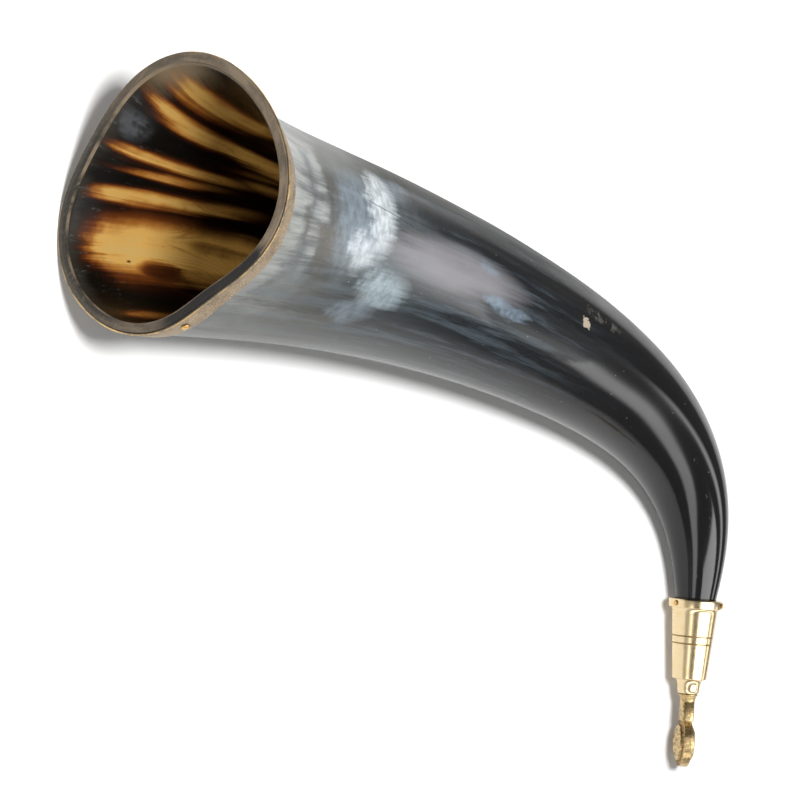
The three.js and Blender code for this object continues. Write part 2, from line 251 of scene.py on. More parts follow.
WHITE = (1.0, 1.0, 1.0)


def tint(red, green, blue):
    """A colour from 0 to 255 on a screen, as the linear colour that a shader takes."""
    shares = (value / 255 for value in (red, green, blue))
    return tuple(v / 12.92 if v <= 0.04045 else ((v + 0.055) / 1.055) ** 2.4 for v in shares)


def length_setting(name, description, millimetres):
    """A length that a user may change."""
    return FloatProperty(name=name, description=description, default=millimetres * MM, min=0.0,
                         precision=4, unit="LENGTH")


def colour_setting(name, description, colour):
    """A colour that a user may change."""
    return FloatVectorProperty(name=name, description=description, default=colour, size=3, min=0.0,
                               max=1.0, subtype="COLOR")


class HornSettings(bpy.types.PropertyGroup):
    """Sizes and colours of the natural horn"""
    length: length_setting("Length", "Length along the centre line, without the tenon", 280)
    mouth_radius: length_setting("Mouth radius", "Mean radius of the mouth before its flare", 32.9)
    tip_radius: length_setting("Tip radius", "Radius where the ferrule begins", 6.6)
    wall: length_setting("Wall", "Thickness of the wall at the sawn mouth", 2.8)
    bore_depth: length_setting("Bore depth", "Depth of the hollow along the centre line", 210)
    pale_colour: colour_setting("Pale horn", "Outside near the mouth", tint(146, 146, 139))
    black_colour: colour_setting("Black horn", "Outside near the tip", tint(17, 17, 19))
    amber_colour: colour_setting("Amber", "Clear streaks inside", tint(156, 129, 75))
    sawn_colour: colour_setting("Sawn edge", "Cut face of the mouth", tint(114, 100, 83))


class BandSettings(bpy.types.PropertyGroup):
    """Sizes and colours of the strip round the mouth"""
    width: length_setting("Width", "Width of the strip", 6.5)
    thickness: length_setting("Thickness", "Thickness of the strip", 0.6)
    setback: length_setting("Setback", "How far the strip stands back from the mouth", 0.5)
    sheet_colour: colour_setting("Sheet", "Dull face of the strip", tint(154, 136, 112))
    # Edge colour: a painted highlight along the cut edge
    edge_colour: colour_setting("Edge", "Bright cut edge of the strip", tint(200, 168, 116))


class NailSettings(bpy.types.PropertyGroup):
    """Sizes and colour of the nails"""
    head_radius: length_setting("Head radius", "Radius of a rim nail's head", 1.25)
    head_height: length_setting("Head height", "Height of a rim nail's head", 0.7)
    pin_radius: length_setting("Pin radius", "Radius of a ferrule pin's head", 0.9)
    pin_height: length_setting("Pin height", "Height of a ferrule pin's head", 0.4)
    colour: colour_setting("Brass", "Worn nail brass", tint(214, 172, 102))


class FerruleSettings(bpy.types.PropertyGroup):
    """Sizes and colour of the turned ferrule"""
    collar_radius: length_setting("Collar radius", "Radius of the raised collar", 8.7)
    cone_top_radius: length_setting("Cone radius", "Radius of the cone below the collar", 7.4)
    cone_end_radius: length_setting("Cone end radius", "Radius of the cone at its small end", 5.6)
    cone_length: length_setting("Cone length", "Length of the cone", 21.2)
    boss_radius: length_setting("Boss radius", "Radius of the boss that holds the finial", 3.6)
    colour: colour_setting("Brass", "Polished turned brass", tint(222, 202, 163))


class FinialSettings(bpy.types.PropertyGroup):
    """Sizes and colours of the cast finial"""
    medallion_radius: length_setting("Medallion radius", "Radius of the round medallion", 7.9)
    medallion_edge: length_setting("Medallion edge", "Width of the medallion's filed edge", 2.6)
    colour: colour_setting("Brass", "Filed cast brass", tint(198, 174, 128))
    recess_colour: colour_setting("Recess", "Dull brass in the relief", tint(120, 88, 42))


class StageSettings(bpy.types.PropertyGroup):
    """Floor and light of the stage"""
    floor_colour: colour_setting("Floor", "Plain pale floor", (0.8, 0.8, 0.8))
    room_colour: colour_setting("Room", "Dim room that the polished pieces mirror", (0.16, 0.155, 0.15))
    soft_box_power: FloatProperty(name="Soft box", description="Power of the lamp overhead",
                                  default=16.0, min=0.0, unit="POWER")
    key_power: FloatProperty(name="Key lamp", description="Power of the lamp that casts the shadow",
                             default=18.0, min=0.0, unit="POWER")


class HornForm:
    """The horn's form in millimetres: a bent centre line with an uneven hollow section round it."""

    def __init__(self, settings):
        self.length = settings.length / MM
        self.mouth_radius = settings.mouth_radius / MM
        self.tip_radius = settings.tip_radius / MM
        self.wall = settings.wall / MM
        self.bore_depth = settings.bore_depth / MM
        self.steps = np.linspace(0, self.length, CENTRE_STEPS + 1)
        stride = self.length / CENTRE_STEPS
        middle = self.turn_at((self.steps[1:] + self.steps[:-1]) / 2)
        self.line_x = np.concatenate(([0], np.cumsum(np.cos(middle)) * stride))
        self.line_y = np.concatenate(([0], -np.cumsum(np.sin(middle)) * stride))
        self.lying = self.lying_turn()
        self.shift = np.zeros(3)
        self.shift = self.shift_to_part()

    def turn_at(self, distance):
        """The angle that the centre line has turned at a distance from the mouth."""
        share = np.minimum(distance / self.length, 1)
        hook = (1 - np.cos(math.pi * share ** HOOK_POWER)) / 2
        return np.radians(BOW_TURN * share + HOOK_TURN * hook)

    def lying_turn(self):
        """The turn that lays the horn on its side, from the way its sawn mouth faces in the record."""
        facing = frame["record"]["mounts"][0]["axis"]
        lean = math.radians(CUT_LEAN)
        roll = math.asin(-facing[1] / math.sin(lean))
        before = math.atan2(math.sin(lean) * math.cos(roll), -math.cos(lean))
        after = math.atan2(facing[2], facing[0])
        turn = Matrix.Rotation(before - after, 3, "Y") @ Matrix.Rotation(roll, 3, "X")
        return np.array(turn)

    def shift_to_part(self):
        """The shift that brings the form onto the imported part's shell."""
        distance = np.linspace(0, self.length, OUTER_STEPS)[:, None]
        angle = np.linspace(0, TAU, 4 * ROUND_STEPS)[None, :]
        shell = self.place(distance, angle, self.plain_outer(distance, angle)).reshape(-1, 3)
        end = self.place(self.length + TENON_LENGTH, angle[0], TENON_END_RADIUS)
        points = np.concatenate((shell, end)) / MM
        low, high = (np.array(corner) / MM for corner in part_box("horn_shell"))
        return (low + high - points.min(0) - points.max(0)) / 2

    def plain_outer(self, distance, angle):
        """Outside radius at an angle counted from the outer side of the bend towards the top."""
        share = distance / self.length
        fade = np.clip(1 - share, 0, 1)
        cone = self.mouth_radius + (self.tip_radius - self.mouth_radius) * share
        cone = cone + BELLY * np.sin(math.pi * share ** 2)
        oval = OVAL_SHARE * fade * np.cos(2 * (angle - math.radians(OVAL_ANGLE)))
        lobes = LOBE_SHARE * fade ** LOBE_FADE * np.cos(3 * (angle - math.radians(LOBE_ANGLE)))
        corners = CORNER_SHARE * fade ** CORNER_FADE * np.cos(4 * (angle - math.radians(CORNER_ANGLE)))
        lean = 1 + FLARE_LEAN * np.cos(angle - math.radians(FLARE_ANGLE))
        return cone * (1 + oval + lobes + corners) + FLARE * lean * np.exp(-distance / FLARE_LENGTH)

    def outer(self, distance, angle):
        """Outside radius with the shallow unevenness that scraping leaves away from the fittings."""
        marks = np.sin(3 * angle + 0.050 * distance + 1.3) * np.sin(0.083 * distance + 0.4)
        marks = marks + 0.7 * np.sin(5 * angle - 0.031 * distance + 0.2) * np.cos(0.047 * distance)
        marks = marks + 0.5 * np.sin(2 * angle + 0.140 * distance)
        deepest = 1 + 0.7 + 0.5
        clear = np.clip((distance - SCRAPE_FROM_MOUTH) / SCRAPE_MOUTH_EASE, 0, 1)
        clear = clear * np.clip((self.length - SCRAPE_FROM_TIP - distance) / SCRAPE_TIP_EASE, 0, 1)
        return self.plain_outer(distance, angle) - SCRAPE_DEPTH * clear * (0.5 + marks / (2 * deepest))

    def inner(self, distance, angle):
        """Radius of the hollow, which closes to a round end at the bore's depth."""
        closing = np.sqrt(np.clip(1 - (distance / self.bore_depth) ** BORE_POWER, 0, 1))
        return (self.plain_outer(distance, angle) - self.wall) * closing

    def place(self, distance, angle, radius):
        """Points in metres in the part's frame; sections near the mouth lean with its saw cut."""
        on_line = np.minimum(distance, self.length)
        past = np.maximum(np.asarray(distance, float) - self.length, 0)
        turn = self.turn_at(on_line)
        x = np.interp(on_line, self.steps, self.line_x) + past * np.cos(turn)
        y = np.interp(on_line, self.steps, self.line_y) - past * np.sin(turn)
        out = radius * np.cos(angle)
        height = radius * np.sin(angle)
        lean = height * math.tan(math.radians(CUT_LEAN)) * (1 - on_line / self.length) ** CUT_FADE
        local = np.stack(np.broadcast_arrays(x + out * np.sin(turn) + lean * np.cos(turn),
                                             y + out * np.cos(turn) - lean * np.sin(turn), height), -1)
        return (local @ self.lying.T + self.shift) * MM

    def tip_frame(self):
        """The matrix, in metres, that takes the ferrule's own millimetres to its place on the tip."""
        turn = float(self.turn_at(self.length))
        columns = np.array([[-math.sin(turn), -math.cos(turn), 0], [math.cos(turn), -math.sin(turn), 0],
                            [0, 0, 1]]).T
        columns = self.lying @ columns * MM
        place = self.place(self.length, 0.0, 0.0)
        rows = [[*columns[i], place[i]] for i in range(3)]
        return Matrix((*rows, (0, 0, 0, 1)))


def skin(rings, wrap=False, start=None, end=None):
    """Points and faces over rings of equal count; wrap joins the last ring to the first."""
    count = len(rings[0])
    points = np.concatenate(rings)
    rows = np.arange(len(rings) if wrap else len(rings) - 1)
    a = (rows[:, None] * count + np.arange(count)).ravel()
    b = (rows[:, None] * count + (np.arange(count) + 1) % count).ravel()
    total = len(points)
    faces = np.stack((a, b, (b + count) % total, (a + count) % total), 1).tolist()
    for tip, ring in ((start, 0), (end, len(rings) - 1)):
        if tip is None:
            continue
        points = np.concatenate((points, [tip]))
        last = len(points) - 1
        faces += [(last, ring * count + (i + 1) % count, ring * count + i) for i in range(count)]
    return points, faces


def closed_skin(rings):
    """A skin whose first and last rings are closed to their middles."""
    return skin(rings, start=np.mean(rings[0], 0), end=np.mean(rings[-1], 0))


def crowded(steps, crowding):
    """Shares from 0 to 1 that lie closer together at both ends."""
    shares = np.linspace(0, 1, steps + 1)
    return shares - crowding * np.sin(TAU * shares) / TAU


def waves(angle, table):
    """The sum of waves round a piece, each by its height, count and start."""
    return sum(height * np.sin(count * angle + start) for height, count, start in table)


def mesh_piece(name, points, faces, materials, face_materials=None, marks=None):
    """A smooth mesh object with outward faces; marks are values kept at the points for the shaders."""
    mesh = bpy.data.meshes.new(name)
    mesh.from_pydata(np.asarray(points).tolist(), [], faces)
    if face_materials is not None:
        mesh.polygons.foreach_set("material_index", np.asarray(face_materials, np.int32))
    for mark, values in (marks or {}).items():
        values = np.asarray(values, np.float32)
        if values.ndim == 1:
            mesh.attributes.new(mark, "FLOAT", "POINT").data.foreach_set("value", values)
        else:
            mesh.attributes.new(mark, "FLOAT_VECTOR", "POINT").data.foreach_set("vector", values.ravel())
    form = bmesh.new()
    form.from_mesh(mesh)
    bmesh.ops.recalc_face_normals(form, faces=form.faces)
    form.to_mesh(mesh)
    form.free()
    mesh.polygons.foreach_set("use_smooth", np.ones(len(mesh.polygons), bool))
    for material in materials:
        mesh.materials.append(material)
    piece = bpy.data.objects.new(name, mesh)
    bpy.context.scene.collection.objects.link(piece)
    return piece


def put_on(piece, node):
    """The piece stands for a CAD node, whose part is hidden, and rides on the body."""
    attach(piece, BODY)
    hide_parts(node)


def turned_rings(profile, steps):
    """Rings about the second axis from radius and height pairs."""
    angle = np.arange(steps) * TAU / steps
    return [np.stack((radius * np.sin(angle), np.full(steps, float(height)), radius * np.cos(angle)), 1)
            for radius, height in profile]


def arc(centre, radius, start, end, steps):
    """Points of a profile round a centre, by angles in degrees."""
    angles = np.radians(np.linspace(start, end, steps + 1))
    return [(centre[0] + radius * math.cos(a), centre[1] + radius * math.sin(a)) for a in angles]


def cove(start, end, steps):
    """A hollow quarter round between two points of a profile, along the axis at its start."""
    angles = np.linspace(0, math.pi / 2, steps + 1)
    return [(start[0] + (end[0] - start[0]) * (1 - math.cos(a)), start[1] + (end[1] - start[1]) * math.sin(a))
            for a in angles]


def moved(points, matrix):
    """Points taken through a matrix."""
    grid = np.array(matrix)
    return np.asarray(points) @ grid[:3, :3].T + grid[:3, 3]


class Wire:
    """An output socket; arithmetic on it adds Math nodes."""

    def __init__(self, paint, socket):
        self.paint = paint
        self.socket = socket

    def __add__(self, other):
        return self.paint.math("ADD", self, other)

    def __radd__(self, other):
        return self.paint.math("ADD", other, self)

    def __sub__(self, other):
        return self.paint.math("SUBTRACT", self, other)

    def __rsub__(self, other):
        return self.paint.math("SUBTRACT", other, self)

    def __mul__(self, other):
        return self.paint.math("MULTIPLY", self, other)

    def __rmul__(self, other):
        return self.paint.math("MULTIPLY", other, self)

    def __truediv__(self, other):
        return self.paint.math("DIVIDE", self, other)

    def __rtruediv__(self, other):
        return self.paint.math("DIVIDE", other, self)

    def __pow__(self, other):
        return self.paint.math("POWER", self, other)

    def __rpow__(self, other):
        return self.paint.math("POWER", other, self)

    def __abs__(self):
        return self.paint.math("ABSOLUTE", self)

    def over(self, other):
        """The larger of two values."""
        return self.paint.math("MAXIMUM", self, other)

    def rise(self, low, high, start=0, end=1):
        """0 below the low value, 1 above the high one and smooth between."""
        return self.paint.node("ShaderNodeMapRange", {"interpolation_type": "SMOOTHSTEP"}, {
            "Value": self, "From Min": low, "From Max": high, "To Min": start, "To Max": end})

    def fall(self, low, high):
        """1 below the low value, 0 above the high one and smooth between."""
        return self.rise(low, high, 1, 0)


class Paint:
    """The nodes of a material or of the world."""

    def __init__(self, holder):
        holder.use_nodes = True
        self.holder = holder
        self.tree = holder.node_tree
        self.tree.nodes.clear()

    def node(self, kind, settings, sockets, output=0):
        """A node of a type; its settings come first, then the values or links of its sockets."""
        made = self.tree.nodes.new(kind)
        for name, value in settings.items():
            if name == "stops":
                self.set_stops(made.color_ramp, value)
            else:
                setattr(made, name, value)
        for name, value in sockets.items():
            if isinstance(value, Wire):
                self.tree.links.new(value.socket, made.inputs[name])
            else:
                made.inputs[name].default_value = value
        return Wire(self, made.outputs[output]) if made.outputs else made

    def set_stops(self, ramp, stops):
        """A ramp's stops from places and colours."""
        while len(ramp.elements) < len(stops):
            ramp.elements.new(1.0)
        for element, (place, colour) in zip(ramp.elements, stops):
            element.position = place
            element.color = (*colour, 1)

    def math(self, operation, *values):
        return self.node("ShaderNodeMath", {"operation": operation}, dict(enumerate(values)))

    def mark(self, name, output="Vector"):
        """Values kept at the mesh's points."""
        return self.node("ShaderNodeAttribute", {"attribute_name": name}, {}, output)

    def parts(self, vector):
        """A vector's three values."""
        split = self.node("ShaderNodeSeparateXYZ", {}, {0: vector})
        return [Wire(self, socket) for socket in split.socket.node.outputs]

    def rays(self):
        """Whether a surface is met by a camera's ray, a glossy one or one through glass."""
        first = self.node("ShaderNodeLightPath", {}, {})
        outputs = first.socket.node.outputs
        return [Wire(self, outputs[f"Is {kind} Ray"]) for kind in ("Camera", "Glossy", "Transmission")]

    def point(self, x, y, z):
        return self.node("ShaderNodeCombineXYZ", {}, {0: x, 1: y, 2: z})

    def noise(self, place, scale=1.0, detail=3.0, roughness=0.5, distortion=0.0):
        return self.node("ShaderNodeTexNoise", {}, {
            "Vector": place, "Scale": scale, "Detail": detail, "Roughness": roughness,
            "Distortion": distortion})

    def specks(self, place, scale):
        """Distance to scattered points, 0 at each."""
        return self.node("ShaderNodeTexVoronoi", {}, {"Vector": place, "Scale": scale}, "Distance")

    def mix(self, share, first, second):
        """A colour between two."""
        colours = [c if isinstance(c, Wire) else (*c, 1) for c in (first, second)]
        return self.node("ShaderNodeMix", {"data_type": "RGBA"}, {0: share, 6: colours[0], 7: colours[1]}, 2)

    def coats(self, colour, *layers):
        """A colour under layers, each a share and the colour that it lays on."""
        for share, shade in layers:
            colour = self.mix(share, colour, shade)
        return colour

    def ramp(self, share, *stops):
        return self.node("ShaderNodeValToRGB", {"stops": stops}, {0: share})

    def bump(self, height, depth):
        """A normal from a height from 0 to 1, for marks of this depth in millimetres."""
        return self.node("ShaderNodeBump", {}, {"Height": height, "Distance": depth * MM, "Strength": 1.0})

    def finish(self, sockets, dull=None):
        """The material with a shader of these sockets, and one with less gloss where it is dull."""
        shader = self.node("ShaderNodeBsdfPrincipled", {}, sockets)
        if dull is not None:
            flat = self.node("ShaderNodeBsdfPrincipled", {}, {
                "Base Color": sockets["Base Color"], "Roughness": DULL_ROUGHNESS,
                "Specular IOR Level": DULL_GLOSS})
            shader = self.node("ShaderNodeMixShader", {}, {"Fac": dull, 1: shader, 2: flat})
        self.node("ShaderNodeOutputMaterial", {}, {"Surface": shader})
        return self.holder


def horn_place(paint, cut_angle):
    """Distance from the mouth, angle in degrees counted on from a cut, and a maker of places for noise."""
    x, y, distance = paint.parts(paint.mark("lay"))
    radius = (x * x + y * y) ** 0.5
    round_x, round_y = x / radius, y / radius
    turn = math.radians(cut_angle + 180)
    level = (x * math.cos(turn) + y * math.sin(turn)) / radius
    across = (y * math.cos(turn) - x * math.sin(turn)) / radius
    angle = paint.math("ARCTAN2", across, level) * (180 / math.pi) + (cut_angle + 180)

    def spot(times, along):
        return paint.point(round_x * times, round_y * times, along)

    return distance, angle, spot


def strayed(value, *strays):
    """A value moved to and fro by noises, each with the width that it moves over."""
    for noise, width in strays:
        value = value + (noise - 0.5) * width
    return value


def patches(distance, angle, *spots):
    """The strongest of soft patches, each by its place, its reach along and round the horn, and strength."""
    strongest = None
    for middle, middle_angle, reach, reach_angle, strength in spots:
        out = ((distance - middle) / reach) ** 2 + ((angle - middle_angle) / reach_angle) ** 2
        share = (1 - out).rise(0, 1) * strength
        strongest = share if strongest is None else strongest.over(share)
    return strongest


def paint_outside(settings):
    """Polished horn: pale arcs at the mouth, a clouded patch, then black towards the tip."""
    paint = Paint(bpy.data.materials.new("Horn outside"))
    distance, angle, spot = horn_place(paint, -90)
    drift = paint.noise(spot(1.2, distance / 50))
    blotch = paint.noise(spot(3.2, distance / 15), detail=5, roughness=0.6)
    fibre = paint.noise(spot(22, distance / 30), detail=4, roughness=0.6)
    feather = paint.noise(spot(8, distance / 2.4), detail=5, roughness=0.62)
    grit = paint.noise(spot(60, distance / 1.2), detail=2)
    streak = paint.noise(spot(9, distance / 42), detail=5, roughness=0.66)
    feathered = feather.rise(0.3, 0.7)
    way = strayed(distance, (drift, 46), (blotch, 34), (fibre, 12))
    turned = strayed(angle, (drift, 26), (blotch, 18), (fibre, 6))
    sunk = strayed(distance, (blotch, 12), (fibre, 5))
    wavy = strayed(distance, (feather, 7), (fibre, 8))

    # The broad shading, from the mouth to the tip and round the horn
    mottle = distance.fall(50, 95) * distance.rise(3, 10)
    streaky = distance.rise(2, 14) * way.fall(110, 190)
    # Painted reflections of the pale surroundings: lighter along the lower side (low), olive along the upper
    # side (high), pale on the top near the mouth (top)
    low = turned.rise(130, 172) * way.fall(40, 180)
    high = turned.fall(36, 56) * way.fall(60, 170)
    top = turned.fall(48, 66) * way.fall(18, 62)

    # The arcs at the mouth, the clouded patch with its core, a painted sheen on a paler patch, and what lies
    # beside it
    pale = patches(sunk, angle, (12, 78, 7, 62, 1), (24, 76, 5, 46, 0.9), (18, 40, 14, 16, 0.8))
    pale = pale * (0.2 + streak.rise(0.38, 0.64) * 1.1)
    brown = patches(sunk, angle, (31, 84, 6, 50, 1), (18, 100, 4, 34, 0.7)) * blotch.rise(0.36, 0.62)
    haze = patches(wavy, turned, (43, 80, 15, 38, 0.85), (57, 134, 11, 13, 0.7), (61, 51, 9, 12, 0.8))
    core = patches(wavy, turned, (53, 68, 8, 34, 1), (46, 96, 8, 14, 0.75)) * (0.4 + feathered * 0.55)
    under = patches(wavy, turned, (62, 112, 13, 19, 1)) * (0.45 + feather.rise(0.32, 0.68) * 0.4)
    # Painted sheen: a soft pale lilac-grey patch where a reflection lies, on a paler part of the horn
    sheen = patches(strayed(distance, (fibre, 16)), strayed(angle, (fibre, 5)), (88, 85, 40, 19, 1))
    beside = (1 - abs(turned - 60) / 9).rise(0, 0.7) * distance.rise(58, 76)
    blue = patches(wavy, turned, (110, 95, 8, 7, 1), (119, 98.5, 9, 7, 0.8), (103, 76, 6, 5, 0.7))

    # Small marks: a crack, a chip and worn spots
    line = abs(strayed(angle - 64 - (distance - 45) * 0.27, (blotch, -5))).fall(0.15, 0.6)
    line = line * distance.rise(45, 48) * distance.fall(68, 74)
    chip_angle = strayed(angle, (blotch, 16), (grit, 6))
    chip = patches(strayed(distance, (feather, 5)), chip_angle, (151, 77, 2.4, 5, 1)).rise(0.1, 0.4)
    dot_place = spot(22, distance)
    dots = paint.specks(dot_place, 0.33).fall(0.04, 0.09) * paint.noise(dot_place, 0.09).rise(0.5, 0.62)
    worn = patches(distance, angle, (160, 66, 11, 7, 1), (227, 106, 2, 4, 1), (242, 111, 1.2, 6, 1))
    worn = worn * feather.rise(0.5, 0.62)

    colour = paint.ramp(
        way / (settings.length / MM), (0.0, settings.pale_colour), (0.07, tint(102, 104, 101)),
        (0.14, tint(66, 69, 69)), (0.21, tint(48, 52, 54)), (0.3, tint(31, 36, 40)), (0.4, tint(22, 26, 30)),
        (0.52, tint(20, 21, 23)), (0.66, tint(15, 15, 17)), (1.0, settings.black_colour))
    colour = paint.coats(
        colour,
        (blotch.rise(0.5, 0.7) * mottle * 0.55, tint(86, 77, 64)),
        (drift.rise(0.46, 0.62) * feather * mottle * 0.6, tint(124, 133, 139)),
        (streak.rise(0.44, 0.7) * streaky * 0.5, tint(92, 104, 112)),
        (streak.fall(0.3, 0.5) * streaky * 0.65, tint(34, 34, 33)),
        # Painted reflections along the lower side, the upper side and the top near the mouth
        (low * 0.6, tint(88, 90, 87)),
        (high * 0.6, tint(62, 63, 54)),
        (top * 0.6, tint(138, 139, 135)),
        (pale * 0.6, tint(172, 173, 169)),
        (brown * 0.7, tint(76, 70, 61)),
        (haze * (0.35 + feathered * 0.45), tint(128, 140, 150)),
        (core, tint(206, 213, 217)),
        (under, tint(160, 175, 182)),
        # Painted sheen on a paler patch
        (sheen * (0.6 + blotch * 0.4), tint(136, 134, 138)),
        (beside * 0.8, tint(27, 27, 27)),
        (blue * (0.35 + feathered * 0.4), tint(128, 145, 161)),
        (line * 0.6, tint(58, 54, 50)),
        (chip * 0.85, tint(176, 164, 146)),
        (dots.over(worn * 0.35) * 0.55, tint(166, 163, 153)))
    polish = 0.34 - distance.rise(30, 135) * 0.24 + (drift - 0.5) * 0.07 + core * 0.12
    height = fibre * 0.4 + grit * 0.2 + feather * 0.3 - chip * 2 - dots * 1.5 - line
    dull = turned.fall(40, 64) * (0.5 + distance.fall(120, 200) * 0.38) * distance.rise(10, 60)
    dull = dull.over(turned.rise(108, 136) * (0.2 + distance.fall(120, 210) * 0.2))
    dull = dull.over(patches(distance, turned, (134, 101, 36, 20, 1)).rise(0, 0.5) * 0.7)
    return paint.finish({"Base Color": colour, "Roughness": polish.over(0.07), "IOR": OUTSIDE_IOR,
                         "Normal": paint.bump(height, 0.01)}, dull)


def paint_hollow(settings):
    """The hollow: clear amber streaks with a painted glow for the light through them, between smoky brown and
    black ones.
    """
    paint = Paint(bpy.data.materials.new("Horn hollow"))
    distance, angle, spot = horn_place(paint, 90)
    sway = paint.noise(spot(2.4, distance / 40), detail=2)
    fibre = paint.noise(spot(20, distance / 60), detail=4, roughness=0.6)
    cloud = paint.noise(spot(3, distance / 11), detail=4, roughness=0.6)
    turned = strayed(angle, (sway, 9), (fibre, 6))
    gone = strayed(distance, (cloud, 9), (fibre, 5))

    # How clear the wall is
    clear = paint.noise(spot(4.5, distance / 70)).rise(0.36, 0.68)
    clear = clear * distance.rise(20, 50) * distance.fall(120, 200) * 0.6
    for middle, slope, half, start, end, strength in AMBER_STREAKS:
        wide = half * (0.5 + gone.rise(start, start + 22) * 0.5)
        out = abs(turned - (middle + distance * slope)) / wide
        body = out.fall(0.2, 2.3) * gone.rise(start, start + 14) * gone.fall(end * 0.3, end) * strength
        clear = clear.over(body)
    smudge = patches(gone, turned, (28, 245, 9, 7, 1), (46, 262, 14, 6, 0.6))
    clear = clear * (1 - smudge * 0.6) * (0.58 + fibre * 0.66 + (cloud - 0.5) * 0.6)

    # Growth lines, smoke and scratches near the mouth, and one dark nick
    growth = paint.noise(spot(4, distance / 24), detail=0, distortion=0.6) * 5
    growth = abs(paint.math("PINGPONG", growth, 0.5) - 0.25).fall(0.0, 0.09)
    growth = growth * distance.rise(26, 34) * distance.fall(46, 60)
    smoke = gone.fall(0, 5) * (angle.rise(200, 245) * angle.fall(330, 350) * 0.5 + 0.1)
    pale_top = gone.fall(2, 9) * angle.rise(336, 352) * angle.fall(362, 380)
    bloom = patches(gone, angle, (5, 322, 6, 9, 1)) * cloud.rise(0.46, 0.6)
    nick = patches(distance, angle, (17.4, 248.5, 0.9, 0.9, 1))
    scratch = paint.noise(spot(30, distance / 4), roughness=0.7).rise(0.6, 0.7)
    scratch = scratch * gone.fall(4, 22) * angle.rise(190, 225) * angle.fall(330, 350)

    colour = paint.ramp(
        clear, (0.0, tint(10, 8, 6)), (0.2, tint(32, 15, 7)), (0.4, tint(76, 37, 13)),
        (0.6, tint(124, 77, 31)), (0.8, tint(162, 126, 66)), (1.0, settings.amber_colour))
    colour = paint.coats(
        colour,
        (growth * 0.55, tint(48, 30, 14)),
        (smoke, tint(50, 47, 42)),
        (pale_top * 0.7, tint(120, 104, 80)),
        (bloom * 0.3, tint(104, 107, 112)),
        (nick, tint(40, 26, 12)),
        (scratch * 0.28, tint(96, 96, 92)))
    # Painted glow: emission in the clear streaks, stronger deeper in, stands in for light through the wall
    through = clear.rise(0.25, 1.0) * (0.4 + distance.rise(16, 44) * 0.6)
    return paint.finish({"Base Color": colour, "Roughness": 0.3 + (cloud - 0.5) * 0.16, "IOR": HOLLOW_IOR,
                         "Emission Color": paint.mix(through, BLACK, tint(196, 146, 70)),
                         "Emission Strength": HOLLOW_GLOW,
                         "Normal": paint.bump(fibre * 0.7 + cloud * 0.3, 0.015)})


def paint_sawn(settings):
    """The sawn mouth: grey-brown with slanting saw marks, smoky on one side and black on the other."""
    paint = Paint(bpy.data.materials.new("Sawn horn"))
    distance, angle, spot = horn_place(paint, 90)
    x, y, _ = paint.parts(paint.mark("lay"))
    outward = paint.mark("rim", "Fac")
    marks = paint.noise(paint.point((x + y) * 0.25, (x - y) * 1.6, distance), detail=4, roughness=0.7)
    stain = paint.noise(spot(3, outward * 0.8), detail=5, roughness=0.6)
    turned = strayed(angle, (stain, 40))
    smoky = turned.rise(182, 214) * turned.fall(305, 340)
    black = turned.rise(98, 112) * turned.fall(168, 186) * outward.rise(0.04, 0.2)
    lip = outward.fall(0.0, 0.1) * stain.rise(0.4, 0.62)
    colour = paint.coats(
        settings.sawn_colour,
        (stain.rise(0.35, 0.65) * 0.8, tint(60, 53, 45)),
        (smoky * 0.75, tint(50, 48, 44)),
        (smoky * outward.fall(0.3, 0.75) * 0.7, tint(20, 19, 17)),
        (marks.rise(0.52, 0.74) * 0.5, tint(128, 116, 100)),
        (marks.fall(0.3, 0.44) * 0.5, tint(48, 41, 34)),
        (black * 0.95, tint(14, 13, 12)),
        (lip * 0.6, tint(134, 118, 96)))
    return paint.finish({"Base Color": colour, "Roughness": 0.55 + (marks - 0.5) * 0.2, "IOR": SAWN_IOR,
                         "Normal": paint.bump(marks, 0.03)})


def paint_sheet(settings):
    """Dull sandy sheet brass with bright and dark specks, and a painted highlight along its cut edge, which
    is also more metallic and smoother there.
    """
    paint = Paint(bpy.data.materials.new("Sheet brass"))
    lay = paint.mark("lay")
    stain = paint.noise(lay, 0.2, 4, 0.6)
    speck = paint.noise(lay, 2.6, 2)
    # Painted highlight along the cut edge, also shinier there
    bright = paint.mark("edge", "Fac").rise(0.35, 0.9) * stain.fall(0.4, 0.6)
    colour = paint.coats(
        settings.sheet_colour,
        (stain.rise(0.38, 0.66) * 0.7, tint(116, 98, 76)),
        (speck.rise(0.58, 0.7) * 0.7, tint(226, 206, 174)),
        (speck.fall(0.3, 0.4) * 0.6, tint(84, 64, 42)),
        (bright, settings.edge_colour))
    return paint.finish({"Base Color": colour, "Metallic": 0.4 + bright * 0.5,
                         "Roughness": 0.58 - bright * 0.25,
                         "Normal": paint.bump(speck * 0.6 + stain * 0.4, 0.06)})


def paint_nails(settings):
    """Worn nail brass, with painted shade round the foot of the head."""
    paint = Paint(bpy.data.materials.new("Nail brass"))
    wear = paint.noise(paint.mark("lay"), 1.4, 4)
    colour = paint.coats(
        settings.colour,
        # Painted shade round the foot of the head
        (paint.mark("edge", "Fac").rise(0.5, 1.0) * 0.8, tint(92, 66, 34)),
        (wear.rise(0.5, 0.72) * 0.4, tint(168, 126, 66)))
    return paint.finish({"Base Color": colour, "Metallic": 1.0, "Roughness": 0.24 + wear * 0.16,
                         "Normal": paint.bump(wear, 0.05)})


